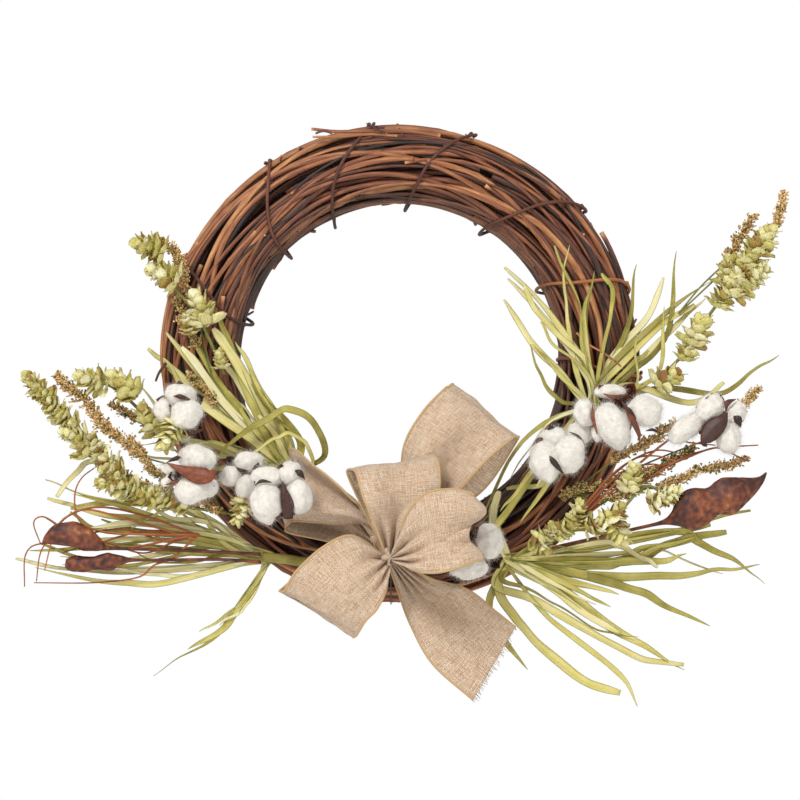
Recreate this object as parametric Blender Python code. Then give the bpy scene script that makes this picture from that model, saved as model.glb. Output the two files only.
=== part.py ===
"""Harvest door wreath: a grapevine ring with a burlap bow, cotton bolls and dried grasses.

Metres, +Z up. The wreath hangs in the XZ plane and its front faces -Y. The origin is where
a door hook carries it: the inner face of the ring at its very top, midway through its depth.
"""
from math import cos, floor, pi, radians, sin, sqrt, tau

import bmesh
import bpy
from mathutils import Vector

# ---- Driving dimensions ----------------------------------------------------------------
MM = 0.001
ring_inner_radius = 0.118       # clear opening of the ring
cane_hank_diameter = 0.0125     # one hank of five or six canes
hanks_round_section = 9         # hanks in the outer layer of the ring's section
hank_gap = 0.0022               # between neighbouring hanks
section_flatness = 1.36         # width over depth of the ellipse the hanks lie on
hank_end_gap = 9.0              # degrees left open where a hank's two ends face each other
tie_diameter = 0.003            # single cane wrapped round the ring
tie_gap = 0.0014                # between a tie and the hanks under it
ribbon_width = 0.0635           # 2 1/2 inch wired burlap
ribbon_thickness = 0.0012
bow_gather_radius = 0.005       # the waist that all the loops are pinched into
bow_gather_back = 0.022         # the waist runs from here to its front, forward of the ring
bow_gather_front = 0.083
bow_wire_radius = 0.0008
bow_wire_gap = 0.0006           # between the wire and the waist
cotton_radius = 0.0195          # an average boll
cotton_flatness = 0.85          # a boll's depth over its width
burr_wall = 0.0012
burr_gap = 0.0008               # between a boll and the burr behind it
burr_stalk = 0.007              # stub of stalk behind the burr
burr_reach = (92, 122)          # degrees from the front at a notch, and at a valve's tip
pod_half_width = 0.0105
cone_radius = 0.0085            # hop-like seed heads
stem_radius = 0.0013
seed_spike_radius = 0.0038
grass_blade_width = 0.0065
grass_blade_thickness = 0.0016
grass_layer_step = 0.4          # mm forward from one blade to the next in a tuft
grass_root_spread = (0.7, 0.6)  # mm sideways and up from one blade's start to the next
grass_root_radius = 0.005
curly_twig_radius = 0.0012

ring_steps = 30                 # straight stretches in one turn of a hank
hank_radius = cane_hank_diameter / 2
tie_radius = tie_diameter / 2

# The ellipse that the outer hanks are centred on, from its perimeter (Ramanujan).
hank_pitch = cane_hank_diameter + hank_gap
flat_h = ((section_flatness - 1) / (section_flatness + 1)) ** 2
perimeter_factor = pi * (1 + section_flatness) * (1 + 3 * flat_h / (10 + sqrt(4 - 3 * flat_h)))
half_depth = hanks_round_section * hank_pitch / perimeter_factor
half_width = half_depth * section_flatness
ring_mean_radius = ring_inner_radius + half_width + hank_radius
ring_front = half_depth + hank_radius + tie_gap + tie_diameter     # ties included

# Everything below the ring centre is set out from the middle of the ring's lowest part.
bow_knot_place = (-6.7, 5.0)    # X, Z in mm


# ---- Helpers ----------------------------------------------------------------------------
for old in list(bpy.data.objects):
    bpy.data.objects.remove(old, do_unlink=True)


def material(name, colour, roughness, metallic=0.0):
    mat = bpy.data.materials.new(name)
    mat.use_nodes = True
    shader = mat.node_tree.nodes["Principled BSDF"]
    shader.inputs["Base Color"].default_value = (*colour, 1.0)
    shader.inputs["Roughness"].default_value = roughness
    shader.inputs["Metallic"].default_value = metallic
    return mat


grapevine = material("grapevine", (0.19, 0.085, 0.04), 0.65)
dark_vine = material("dark_vine", (0.07, 0.035, 0.02), 0.6)
pale_vine = material("pale_vine", (0.40, 0.19, 0.08), 0.6)
burlap = material("burlap", (0.56, 0.43, 0.31), 0.95)
florist_wire = material("florist_wire", (0.06, 0.04, 0.03), 0.5, 0.6)
cotton = material("cotton", (0.86, 0.83, 0.76), 1.0)
dry_husk = material("dry_husk", (0.18, 0.07, 0.03), 0.7)
dry_pod = material("dry_pod", (0.16, 0.055, 0.03), 0.6)
hop_bract = material("hop_bract", (0.55, 0.56, 0.27), 0.85)
seed_grain = material("seed_grain", (0.47, 0.29, 0.10), 0.9)
dry_grass = material("dry_grass", (0.46, 0.46, 0.14), 0.75)
curly_willow = material("curly_willow", (0.28, 0.11, 0.04), 0.6)

ring_centre = bpy.data.objects.new("ring_centre", None)
ring_centre.location = (0, 0, -ring_inner_radius)
bpy.context.scene.collection.objects.link(ring_centre)

# Sprays and bow hang on the front of the ring's lowest part, whatever the ring's size.
spray_base = bpy.data.objects.new("spray_base", None)
spray_base.location = (0, -ring_front, -ring_mean_radius)
spray_base.parent = ring_centre
bpy.context.scene.collection.objects.link(spray_base)


def link(name, data, mat, parent):
    obj = bpy.data.objects.new(name, data)
    obj.parent = parent
    data.materials.append(mat)
    bpy.context.scene.collection.objects.link(obj)
    return obj


def curve_tube(name, points, radius, mat, parent, resolution=1, cyclic=False, radii=None):
    """A round tube through the points; radii are shares of the radius, one for each point."""
    curve = bpy.data.curves.new(name, "CURVE")
    curve.dimensions = "3D"
    curve.bevel_depth = radius
    curve.bevel_resolution = resolution
    curve.use_fill_caps = not cyclic
    spline = curve.splines.new("POLY")
    spline.points.add(len(points) - 1)
    spline.use_cyclic_u = cyclic
    for index, place in enumerate(points):
        spline.points[index].co = (*place, 1.0)
        if radii:
            spline.points[index].radius = radii[index]
    return link(name, curve, mat, parent)


def smooth_path(points, steps):
    """Catmull-Rom curve through the points, with the given steps in each stretch."""
    ends = [2 * points[0] - points[1], *points, 2 * points[-1] - points[-2]]
    path = []
    for index in range(1, len(ends) - 2):
        a, b, c, d = ends[index - 1:index + 3]
        for step in range(steps):
            t = step / steps
            path.append(0.5 * (2 * b + (c - a) * t + (2 * a - 5 * b + 4 * c - d) * t ** 2
                               + (3 * b - a - 3 * c + d) * t ** 3))
    path.append(points[-1])
    return path


def add_loft(mesh, path, widths, depths, sides, across=None):
    """Add a closed body: an ellipse of so many sides carried along a path.

    Its width lies across the path in the plane of the wreath, its depth along Y."""
    rings = []
    for index, place in enumerate(path):
        ahead = path[min(index + 1, len(path) - 1)] - path[max(index - 1, 0)]
        side = Vector((-ahead.z, 0, ahead.x))
        side = side.normalized() if side.length > 1e-9 else Vector((1, 0, 0))
        front = ahead.cross(side).normalized()
        ring = []
        for corner in range(sides):
            turn = tau * corner / sides
            offset = side * cos(turn) * widths[index] + front * sin(turn) * depths[index]
            ring.append(mesh.verts.new(place + offset))
        rings.append(ring)
    for low, high in zip(rings, rings[1:]):
        for corner in range(sides):
            after = (corner + 1) % sides
            mesh.faces.new((low[corner], low[after], high[after], high[corner]))
    mesh.faces.new(list(reversed(rings[0])))
    mesh.faces.new(rings[-1])


def close_mesh(name, mesh):
    bmesh.ops.recalc_face_normals(mesh, faces=mesh.faces)
    data = bpy.data.meshes.new(name)
    mesh.to_mesh(data)
    mesh.free()
    return data


def united(name, bodies, root, root_radius, mat):
    """One body from many lofts that all start inside a small ball at their root."""
    mesh = bmesh.new()
    for body in bodies:
        add_loft(mesh, *body)
    obj = link(name, close_mesh(name, mesh), mat, spray_base)
    ball = bmesh.new()
    bmesh.ops.create_icosphere(ball, subdivisions=1, radius=root_radius)
    bmesh.ops.translate(ball, vec=root, verts=ball.verts)
    knob = link(name + "_root", close_mesh(name + "_root", ball), mat, spray_base)
    knob.hide_render = True
    knob.display_type = "WIRE"
    join = obj.modifiers.new("join", "BOOLEAN")
    join.operation = "UNION"
    join.use_self = True
    join.object = knob
    return obj


def place(x, y, z):
    """A place in front of the ring's lowest part: X, forward distance and Z, in mm."""
    return Vector((x * MM, -y * MM, z * MM))


# ---- The grapevine ring -----------------------------------------------------------------
def ellipse_phase(share, samples=360):
    """Angle on the hank ellipse at a share of its perimeter, so that hanks are evenly spaced."""
    lengths = [0.0]
    for index in range(samples):
        middle = tau * (index + 0.5) / samples
        lengths.append(lengths[-1] + sqrt((half_width * sin(middle)) ** 2
                                          + (half_depth * cos(middle)) ** 2))
    wanted = (share - floor(share)) * lengths[-1]
    index = max(i for i in range(samples) if lengths[i] <= wanted)
    part = (wanted - lengths[index]) / (lengths[index + 1] - lengths[index])
    return tau * (index + part) / samples


def ring_point(angle, outward, forward):
    radius = ring_mean_radius + outward
    return Vector((radius * cos(angle), -forward, radius * sin(angle)))


def outer_hank(number):
    """A hank that makes one turn of the ring while it also goes once round the section."""
    first = 5 + number * 7 % ring_steps
    open_angle = radians(hank_end_gap) / 2
    points = []
    for step in range(ring_steps + 1):
        angle = tau * (first + step) / ring_steps
        if step == 0:
            angle += open_angle
        if step == ring_steps:
            angle -= open_angle
        phase = ellipse_phase(0.5 + number / hanks_round_section + angle / tau - 0.25)
        points.append(ring_point(angle, half_width * cos(phase), half_depth * sin(phase)))
    curve_tube(f"vine_hank_{number + 1:02d}", points, hank_radius, grapevine, ring_centre)


def core_hank(number):
    side = hank_pitch / 2 * (1 if number % 2 else -1)
    first = 11 * number
    points = []
    for step in range(ring_steps + 1):
        angle = tau * (first + step) / ring_steps
        if step == 0:
            angle += radians(hank_end_gap) / 2
        if step == ring_steps:
            angle -= radians(hank_end_gap) / 2
        points.append(ring_point(angle, side, 0))
    curve_tube(f"vine_core_hank_{number + 1}", points, hank_radius, grapevine, ring_centre)


def vine_tie(name, outer_angle, inner_angle, mat):
    """A single cane wrapped once round the whole ring, slanting from outside to inside."""
    reach = hank_radius + tie_gap + tie_radius
    middle = radians(outer_angle + inner_angle) / 2
    slant = radians(outer_angle - inner_angle) / 2
    points = []
    steps = 18
    for step in range(steps):
        turn = tau * step / steps
        points.append(ring_point(middle + slant * cos(turn), (half_width + reach) * cos(turn),
                                 (half_depth + reach) * sin(turn)))
    curve_tube(name, points, tie_radius, mat, ring_centre, cyclic=True)


for number in range(hanks_round_section):
    outer_hank(number)
for number in range(2):
    core_hank(number)
vine_tie("vine_tie_left_low", 153, 165, dark_vine)
vine_tie("vine_tie_left_high", 122, 136, dark_vine)
vine_tie("vine_tie_top", 96, 115, dark_vine)
vine_tie("vine_tie_top_right", 72, 87, dark_vine)
vine_tie("vine_tie_right_high", 40, 57, dark_vine)
vine_tie("vine_tie_right_mid", 18, 27, pale_vine)
vine_tie("vine_tie_right_low", -4, 1, pale_vine)


# ---- The burlap bow ---------------------------------------------------------------------
def ribbon(name, stations):
    """A strip of ribbon. Each station is its centre (X, forward, Z in mm from the knot), the
    direction that its width points in (degrees from +X) and the share of its full width."""
    knot = place(bow_knot_place[0], 0, bow_knot_place[1])
    centres = [knot + place(x, y, z) for x, y, z, turn, share in stations]
    halves = []
    for x, y, z, turn, share in stations:
        half = ribbon_width / 2 * share
        halves.append(Vector((cos(radians(turn)) * half, 0, sin(radians(turn)) * half)))
    steps = 2
    path = smooth_path(centres, steps)
    spread = smooth_path(halves, steps)
    mesh = bmesh.new()
    rows = []
    for middle, half in zip(path, spread):
        rows.append([mesh.verts.new(middle + half * share) for share in (-1, 0, 1)])
    for low, high in zip(rows, rows[1:]):
        for index in range(2):
            mesh.faces.new((low[index], low[index + 1], high[index + 1], high[index]))
    obj = link(name, close_mesh(name, mesh), burlap, spray_base)
    wall = obj.modifiers.new("ribbon_thickness", "SOLIDIFY")
    wall.thickness = ribbon_thickness
    wall.offset = 0
    return obj


ribbon("bow_loop_upper_right", [
    (7, 38, 9, -35, 0.16), (20, 43, 36, -38, 0.52), (30, 45, 66, -34, 0.80),
    (48, 44, 88, -34, 0.88), (66, 41, 105, -36, 0.92), (68, 37, 106, -38, 0.94),
    (66, 31, 103, -38, 0.92), (42, 28, 66, -34, 0.80), (22, 29, 34, -38, 0.45),
    (7, 33, 9, -35, 0.16)])
ribbon("bow_loop_top", [
    (0, 55, 11, 0, 0.16), (2, 63, 27, -6, 0.44), (8, 65, 43, -2, 0.80),
    (4, 60, 66, 6, 0.96), (1, 54, 69, 10, 1.0), (0, 49, 66, 8, 1.0),
    (1, 49, 38, 4, 0.66), (0, 51, 11, 0, 0.14)])
ribbon("bow_loop_right", [
    (10, 71, 3, 90, 0.17), (14, 79, 12, 99, 0.58), (30, 82, 20, 99, 0.88),
    (50, 81, 24, 94, 0.88), (65, 77, 25, 86, 0.68), (67, 74, 25, 84, 0.64),
    (64, 70.5, 25, 84, 0.62), (32, 69, 16, 92, 0.52), (10, 68, 2, 90, 0.14)])
ribbon("bow_loop_lower_left", [
    (-8.5, 53, -5, 110, 0.14), (-15, 63, -2, 122, 0.74), (-29, 67, -13, 130, 0.96),
    (-43, 65, -26, 143, 1.0), (-50, 60, -37, 149, 1.0), (-52, 56, -40, 150, 1.0),
    (-53, 52, -38, 149, 1.0), (-29, 49.5, -14, 136, 0.74), (-9, 49, -4, 110, 0.13)])
ribbon("bow_loop_left", [
    (-9, 38, 3, 95, 0.16), (-22, 40, 34, 120, 0.42), (-44, 34, 43, 92, 0.54),
    (-61, 25, 50, 88, 0.68), (-71.5, 20, 53, 80, 0.76), (-74, 15, 52, 79, 0.80),
    (-71.5, 10, 48, 80, 0.84), (-40, 18, 29, 75, 0.48), (-9, 33, 3, 95, 0.16)])
ribbon("bow_tail", [
    (9, 24, -9, -150, 0.15), (18, 25, -20, -162, 0.42), (36, 27, -37, -149, 0.76),
    (54, 28, -59, -140, 0.94), (76, 26, -78, -120, 1.0)])


def bow_gather():
    """The waist of the bow: the pinched ribbon at the heart of all the loops."""
    knot = place(bow_knot_place[0], 0, bow_knot_place[1])
    mesh = bmesh.new()
    length = bow_gather_front - bow_gather_back
    profile = [(bow_gather_back + length * along, share) for along, share in
               [(0, 0.7), (0.13, 1.0), (0.38, 1.0), (0.62, 1.0), (0.89, 1.0), (1, 0.6)]]
    rings = []
    sides = 8
    for forward, share in profile:
        ring = []
        for corner in range(sides):
            turn = tau * corner / sides
            radius = bow_gather_radius * share
            ring.append(mesh.verts.new(
                knot + Vector((radius * cos(turn), -forward, radius * sin(turn)))))
        rings.append(ring)
    for low, high in zip(rings, rings[1:]):
        for corner in range(sides):
            after = (corner + 1) % sides
            mesh.faces.new((low[corner], low[after], high[after], high[corner]))
    mesh.faces.new(rings[0])
    mesh.faces.new(rings[-1])
    link("bow_gather", close_mesh("bow_gather", mesh), burlap, spray_base)


def bow_wire():
    """Wire over the bow's waist and round the ring, in the plane X = knot."""
    angle = -pi / 2
    reach = hank_radius + tie_gap + tie_radius
    beside = bow_gather_radius + bow_wire_radius + bow_wire_gap
    knot_out = ring_mean_radius - bow_knot_place[1] * MM
    front = ring_front + bow_gather_front + 0.4 * bow_wire_radius + bow_wire_gap
    back = ring_front + bow_gather_back
    rounding = 5 * bow_wire_radius
    points = [Vector((0, -front, -knot_out + side * beside * 0.7)) for side in (-1, 1)]
    points += [Vector((0, -front + rounding, -knot_out + beside)),
               Vector((0, -back, -knot_out + beside))]
    around = 250                # degrees of the ring's section that the wire runs round
    for step in range(9):
        turn = radians(270 - around / 2 + around * step / 8)
        points.append(ring_point(angle, (half_width + reach) * cos(turn),
                                 (half_depth + reach) * sin(turn)))
    points += [Vector((0, -back, -knot_out - beside)),
               Vector((0, -front + rounding, -knot_out - beside))]
    for point in points:
        point.x = bow_knot_place[0] * MM
    curve_tube("bow_wire", points, bow_wire_radius, florist_wire, ring_centre, 0, True)


bow_gather()
bow_wire()


# ---- Cotton bolls -----------------------------------------------------------------------
def boll(label, x, forward, z, size, aim_x, aim_z, husk_spin=0.0):
    """One open cotton boll and the burr that holds it, facing forward and (aim_x, aim_z).

    X, forward and Z are where the burr's back stands, so a larger boll grows forward."""
    valves = 5
    sides = 2 * valves
    radius = cotton_radius * size
    inner = (radius + burr_gap) / (cos(pi / sides) * cos(radians(13)))
    outer = inner + burr_wall
    facing = Vector((aim_x, -1.0, aim_z)).normalized()
    turn = facing.to_track_quat("Z", "Y")
    centre = place(x, forward, z) + facing * outer * cotton_flatness

    mesh = bmesh.new()
    bmesh.ops.create_uvsphere(mesh, u_segments=12, v_segments=7, radius=radius)
    for vert in mesh.verts:
        flat = Vector((vert.co.x, vert.co.y, 0)).length / radius
        around = Vector((vert.co.x, vert.co.y)).angle_signed(Vector((1, 0)), 0.0)
        lobe = 1 + 0.07 * flat * cos(4 * around) - 0.07 * flat
        vert.co = vert.co * lobe
        vert.co.z *= cotton_flatness
    fluff = link(f"cotton_{label}", close_mesh("cotton", mesh), cotton, spray_base)
    fluff.rotation_mode = "QUATERNION"
    fluff.rotation_quaternion = turn
    fluff.location = centre

    # A cup turned about the boll's axis, with five pointed valves and a stub of stalk.
    cup = bmesh.new()
    stalk_end = outer * cotton_flatness + burr_stalk
    stalk_radius = stem_radius * 1.6
    profile = [(outer, 0.1), (outer, 0.5), (outer, 0.75), (outer, 1), (inner, 1), (inner, 0.75),
               (inner, 0.5), (inner, 0.1)]
    rings = [[cup.verts.new((stalk_radius * cos(tau * i / sides),
                             stalk_radius * sin(tau * i / sides), -stalk_end))
              for i in range(sides)]]
    for shell, share in profile:
        ring = []
        for corner in range(sides):
            rim = burr_reach[corner % 2]
            angle = radians(180 + (rim - 180) * share)
            turned = tau * corner / sides + husk_spin
            ring.append(cup.verts.new((shell * sin(angle) * cos(turned),
                                       shell * sin(angle) * sin(turned),
                                       shell * cos(angle) * cotton_flatness)))
        rings.append(ring)
    for low, high in zip(rings, rings[1:]):
        for corner in range(sides):
            after = (corner + 1) % sides
            cup.faces.new((low[corner], low[after], high[after], high[corner]))
    cup.faces.new(rings[0])
    cup.faces.new(rings[-1])
    husk = link(f"burr_{label}", close_mesh("burr", cup), dry_husk, spray_base)
    husk.rotation_mode = "QUATERNION"
    husk.rotation_quaternion = turn
    husk.location = centre


# Bolls that sit close stand off from one another, and the top left one from the hop cone
# beside it and the boll below it, by a share of the cotton's size.
cotton_step = cotton_radius / MM
left_back = Vector((-114.2, 13.8, 59.9))
left_middle = left_back + Vector((-1.846, 0.759, 0.544)) * cotton_step
left_front = left_back + Vector((1.236, 0.836, -0.297)) * cotton_step
left_high = Vector((-188, 23.6, 70.5)) + Vector((1.62, 0, 2.092)) * cotton_step
right_front = Vector((121.6, 19.2, 85.8))
right_middle = right_front + Vector((1.856, 0.128, 1.164)) * cotton_step
boll("left_top", *left_high, 0.98, -0.25, 0.2)
boll("left_mid", *left_middle, 0.98, -0.1, -0.3)
boll("left_inner_back", *left_back, 0.80, -0.2, 0.5)
boll("left_inner_front", *left_front, 1.08, 0.1, -0.1)
boll("right_inner", *right_front, 1.02, -0.3, -0.2)
boll("right_mid", *right_middle, 1.18, 0.1, 0.2)
boll("right_outer", 226.8, 26.6, 104.3, 0.92, 0.3, 0.1)
boll("right_low", 54.8, 18.8, 14.9, 0.98, 0.3, -0.4)


# ---- Dried pods ------------------------------------------------------------------------
def pod(name, stations):
    """A folded pod on its stalk. Each station: X, forward, Z in mm, width share, depth share."""
    path = [place(x, y, z) for x, y, z, width, depth in stations]
    widths = [pod_half_width * width for x, y, z, width, depth in stations]
    depths = [pod_half_width * depth for x, y, z, width, depth in stations]
    mesh = bmesh.new()
    add_loft(mesh, path, widths, depths, 8)
    link(name, close_mesh(name, mesh), dry_pod, spray_base)


pod("pod_left_upper", [
    (-271, 26, 21, 0.1, 0.1), (-264, 27, 23, 0.6, 0.5), (-248, 28, 24, 1.0, 0.8),
    (-232, 28, 20, 0.9, 0.8), (-222, 27, 15, 0.45, 0.4), (-216, 25, 13, 0.2, 0.2),
    (-180, 16, 11, 0.14, 0.14), (-140, 9, 9, 0.14, 0.14), (-103, 6.5, 7, 0.14, 0.14)])
pod("pod_left_lower", [
    (-254, 22, 1, 0.4, 0.4), (-246, 22, 0, 0.62, 0.55), (-228, 22, 0.5, 0.62, 0.55),
    (-212, 21, 2, 0.6, 0.5), (-203, 20, 3, 0.25, 0.25), (-170, 13, 3, 0.14, 0.14),
    (-130, 6, 3, 0.14, 0.14), (-103, 6, 1, 0.14, 0.14)])
pod("pod_right", [
    (271, 44, 64, 0.1, 0.1), (264, 45, 60, 0.6, 0.5), (246, 46, 51, 1.1, 0.8),
    (226, 46, 43, 1.35, 0.9), (210, 44, 37, 1.1, 0.8), (200, 42, 33, 0.4, 0.35),
    (190, 38, 30, 0.2, 0.2), (172, 30, 26, 0.16, 0.16), (148, 19, 20, 0.16, 0.16),
    (122, 10, 14, 0.16, 0.16), (102, 7, 9, 0.16, 0.16)])


# ---- Hop sprays and seed spikes ---------------------------------------------------------
def cone_stem(stations, cones):
    """Loft data for a stem that swells into a cone at each of the listed stations."""
    path = []
    radii = []
    for index, (x, y, z) in enumerate(stations):
        here = place(x, y, z)
        if index not in cones:
            path.append(here)
            radii.append(stem_radius)
            continue
        near = place(*stations[index + 1])
        along = (near - here).normalized()
        for share, girth in ((-0.9, 0.25), (0, 1.0), (0.85, 0.55)):
            path.append(here + along * cone_radius * share)
            radii.append(cone_radius * girth)
    return path, radii, radii, 6


def hop_spray(name, stations, cones):
    mesh = bmesh.new()
    add_loft(mesh, *cone_stem(stations, cones))
    link(name, close_mesh(name, mesh), hop_bract, spray_base)


def spike(points, root):
    """Loft data for one seed spike from its tip to the root that it shares."""
    path = [place(*point) for point in points]
    radii = [seed_spike_radius * share for share in [0.5] + [1.0] * (len(path) - 2) + [0.7]]
    path.append(path[-1] + (root - path[-1]) * 0.25)
    radii.append(stem_radius)
    path.append(root)
    radii.append(stem_radius)
    return path, radii, radii, 5


def seed_spray(name, root, spikes):
    root_place = place(*root)
    united(name, [spike(points, root_place) for points in spikes], root_place,
           stem_radius * 2.2, seed_grain)


hop_spray("hop_spray_left_upper", [
    (-188, 24, 236), (-177, 22, 215), (-152, 20, 187), (-141, 17, 166), (-132, 15, 145)],
    (0, 1, 2))
hop_spray("hop_spray_left_mid", [
    (-231, 33, 137), (-207, 33, 130), (-188, 32, 108), (-176, 24, 96), (-168, 20, 88)],
    (0, 1, 2))
hop_spray("hop_spray_left_lower", [
    (-270, 36, 136), (-254, 36, 117), (-238, 35, 98), (-222, 34, 82), (-206, 33, 62),
    (-187, 30, 49), (-166, 28, 43), (-145, 27, 40), (-128, 26, 38)], (0, 1, 2, 3, 4, 5))
hop_spray("hop_spray_right_upper", [
    (269, 30, 243), (257, 29, 225), (246, 28, 209), (234, 25, 192), (222, 22, 175),
    (213, 20, 159), (201, 14, 146), (189, 9, 132)], (0, 1, 2, 4, 5))
hop_spray("hop_spray_right_lower", [
    (197, 45, 51), (178, 46, 60), (162, 45, 40), (147, 44, 28), (130, 42, 39), (112, 26, 26),
    (98, 12, 20)], (0, 1, 2, 3, 4))
seed_spray("seed_spikes_left_upper", (-140, 8, 142), [
    [(-178, 9, 239), (-165, 9, 227), (-159, 9, 208)],
    [(-165, 9, 193), (-157, 9, 174), (-148, 9, 163)]])
seed_spray("seed_spikes_left_lower", (-146, 19, 62), [
    [(-252, 22, 139), (-230, 21, 117), (-208, 20, 94), (-188, 19, 78)],
    [(-215, 10, 121), (-196, 10, 108), (-180, 10, 95)],
    [(-208, 20, 70), (-192, 19, 60), (-174, 19, 57)],
    [(-165, 19, 42), (-154, 19, 47), (-150, 19, 52)]])
seed_spray("seed_spikes_right_upper", (206, 12, 185), [
    [(283, 13, 274), (278, 13, 247), (262, 13, 236)],
    [(250, 13, 262), (245, 13, 236), (236, 13, 222)]])
seed_spray("seed_spikes_right_mid", (128, 24, 50), [
    [(265, 14, 129), (252, 14, 113), (243, 15, 98)],
    [(200, 24, 102), (183, 24, 91), (156, 24, 76)],
    [(254, 26, 80), (238, 25, 73), (221, 25, 70), (191, 25, 57)],
    [(215, 24, 86), (198, 24, 75), (175, 24, 62)]])


# ---- Grass tufts -----------------------------------------------------------------------
def blade(root, tip, bend, forward):
    """Loft data for one blade: an arc from root to tip, bent sideways by bend mm at mid-length."""
    start = place(root[0], forward, root[1])
    end = place(tip[0], forward, tip[1])
    along = end - start
    side = Vector((-along.z, 0, along.x)).normalized()
    steps = 4
    path = []
    for step in range(steps + 1):
        share = step / steps
        path.append(start + along * share + side * bend * MM * 4 * share * (1 - share))
    widths = [grass_blade_width / 2 * share for share in (0.7, 1.0, 1.0, 0.8, 0.25)]
    depths = [grass_blade_thickness / 2] * (steps + 1)
    return path, widths, depths, 3


def grass_tuft(name, root, forward, blades):
    """Blades that fan out of one bound root. Each blade: the X and Z of its tip, and its bend."""
    bodies = []
    for index, (x, z, bend) in enumerate(blades):
        layer = grass_layer_step * (index % 4)
        start = (root[0] + grass_root_spread[0] * (index % 3),
                 root[1] + grass_root_spread[1] * (index % 5))
        bodies.append(blade(start, (x, z), bend, forward + layer))
    united(name, bodies, place(root[0], forward, root[1]), grass_root_radius, dry_grass)


grass_tuft("grass_left_upper", (-80, 68), 3.9, [
    (-188, 161, 6), (-171, 171, -10), (-158, 176, 4), (-134, 153, -6), (-98, 121, -8),
    (-54, 66, -22), (-205, 84, 8), (-196, 136, -4)])
grass_tuft("grass_left_lower", (-92, 4), 1.3, [
    (-263, 64, -14), (-261, 50, -6), (-242, 36, 6), (-261, 17, -8), (-275, 10, 3),
    (-286, 4, 8), (-270, -5, 10), (-219, 51, -12), (-184, -82, 14), (-157, -64, 8)])
grass_tuft("grass_right_upper", (140, 118), 3.9, [
    (78, 221, 8), (76, 196, 14), (115, 235, -4), (124, 236, -10), (146, 217, 6),
    (177, 224, -6), (195, 212, 8), (205, 232, -12), (231, 212, 10), (226, 196, 3),
    (282, 156, 12)])
grass_tuft("grass_right_lower", (76, 2), 1.3, [
    (243, 24, 12), (269, -16, 22), (266, -1, 14), (239, -10, 16), (198, 13, 6),
    (260, 40, 6), (229, -46, 20), (161, -24, 10), (211, -78, 18), (176, -105, 14),
    (162, -95, 4), (70, 52, -12)])


# ---- Curly twigs -----------------------------------------------------------------------
def twig(points, forward):
    path = smooth_path([place(x, forward, z) for x, z in points], 2)
    radii = [curly_twig_radius] * len(path)
    return path, radii, radii, 4


def twig_bundle(name, root, forward, twigs):
    bodies = [twig(points + [root], forward) for points in twigs]
    united(name, bodies, place(root[0], forward, root[1]), curly_twig_radius * 2.2, curly_willow)


twig_bundle("curly_twigs_left", (-152, 20), 14, [
    [(-278, -17), (-277, 7), (-265, 15), (-233, 13), (-200, 20)],
    [(-266, 12), (-271, 28), (-263, 35), (-250, 26), (-225, 14), (-180, 16)],
    [(-269, -13), (-258, 20), (-245, 34), (-222, 41), (-180, 30)],
    [(-226, 71), (-240, 55), (-240, 40), (-226, 26), (-190, 22)]])
twig_bundle("curly_twigs_right", (126, 30), 31, [
    [(264, 88), (232, 86), (207, 74), (170, 50)],
    [(257, 76), (236, 81), (200, 78), (166, 60)],
    [(214, 62), (189, 68), (160, 52)]])
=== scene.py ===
"""The looks of the harvest door wreath: real canes, burlap, cotton, bracts, seeds and grass."""
import random
from math import cos, pi, radians, sin, sqrt, tau

import bmesh
import bpy
import numpy as np
from mathutils import Matrix, Vector, noise


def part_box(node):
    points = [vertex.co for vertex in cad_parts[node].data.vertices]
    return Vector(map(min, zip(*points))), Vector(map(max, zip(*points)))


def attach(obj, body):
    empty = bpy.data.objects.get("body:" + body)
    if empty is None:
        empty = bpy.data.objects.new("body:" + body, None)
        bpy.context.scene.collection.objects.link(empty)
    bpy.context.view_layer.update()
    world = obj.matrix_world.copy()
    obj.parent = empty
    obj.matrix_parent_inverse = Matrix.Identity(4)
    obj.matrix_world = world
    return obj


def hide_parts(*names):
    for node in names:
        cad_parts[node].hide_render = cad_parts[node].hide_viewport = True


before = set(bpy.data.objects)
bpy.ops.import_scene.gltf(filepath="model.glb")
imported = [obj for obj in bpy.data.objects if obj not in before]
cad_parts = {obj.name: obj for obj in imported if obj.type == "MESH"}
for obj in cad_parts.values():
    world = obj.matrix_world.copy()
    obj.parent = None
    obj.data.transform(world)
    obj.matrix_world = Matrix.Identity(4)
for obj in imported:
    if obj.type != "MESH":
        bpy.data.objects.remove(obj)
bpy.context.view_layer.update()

MM = 0.001
noise.seed_set(11)      # noise_vector, which bends the grass, would start from the clock


# ---- Places taken from the frame --------------------------------------------------------
hank_names = sorted(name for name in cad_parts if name.startswith("vine_hank"))
core_names = sorted(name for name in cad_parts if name.startswith("vine_core"))
hank_boxes = [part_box(name) for name in hank_names]
ring_outer = max(high.x for low, high in hank_boxes)
ring_half_depth = max(high.y for low, high in hank_boxes)
ring_top = max(high.z for low, high in hank_boxes)
ring_centre = Vector((0, 0, ring_top - ring_outer))
ring_inner = -ring_centre.z
ring_mean = (ring_outer + ring_inner) / 2
section_half_width = (ring_outer - ring_inner) / 2
ring_front = -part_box("vine_tie_top")[0].y
spray_base = Vector((0, -ring_front, ring_centre.z - ring_mean))
knot = spray_base + Vector((-6.7, 0, 5.0)) * MM


def at(x, forward, z):
    """A place given in mm: X, forward of the ring, and Z above the middle of its lowest part."""
    return spray_base + Vector((x, -forward, z)) * MM


# ---- Materials -------------------------------------------------------------------------
def hex_colour(code):
    """A linear colour from an sRGB hex value."""
    parts = [int(code[index:index + 2], 16) / 255 for index in (0, 2, 4)]
    return [c / 12.92 if c <= 0.04045 else ((c + 0.055) / 1.055) ** 2.4 for c in parts] + [1.0]


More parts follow.
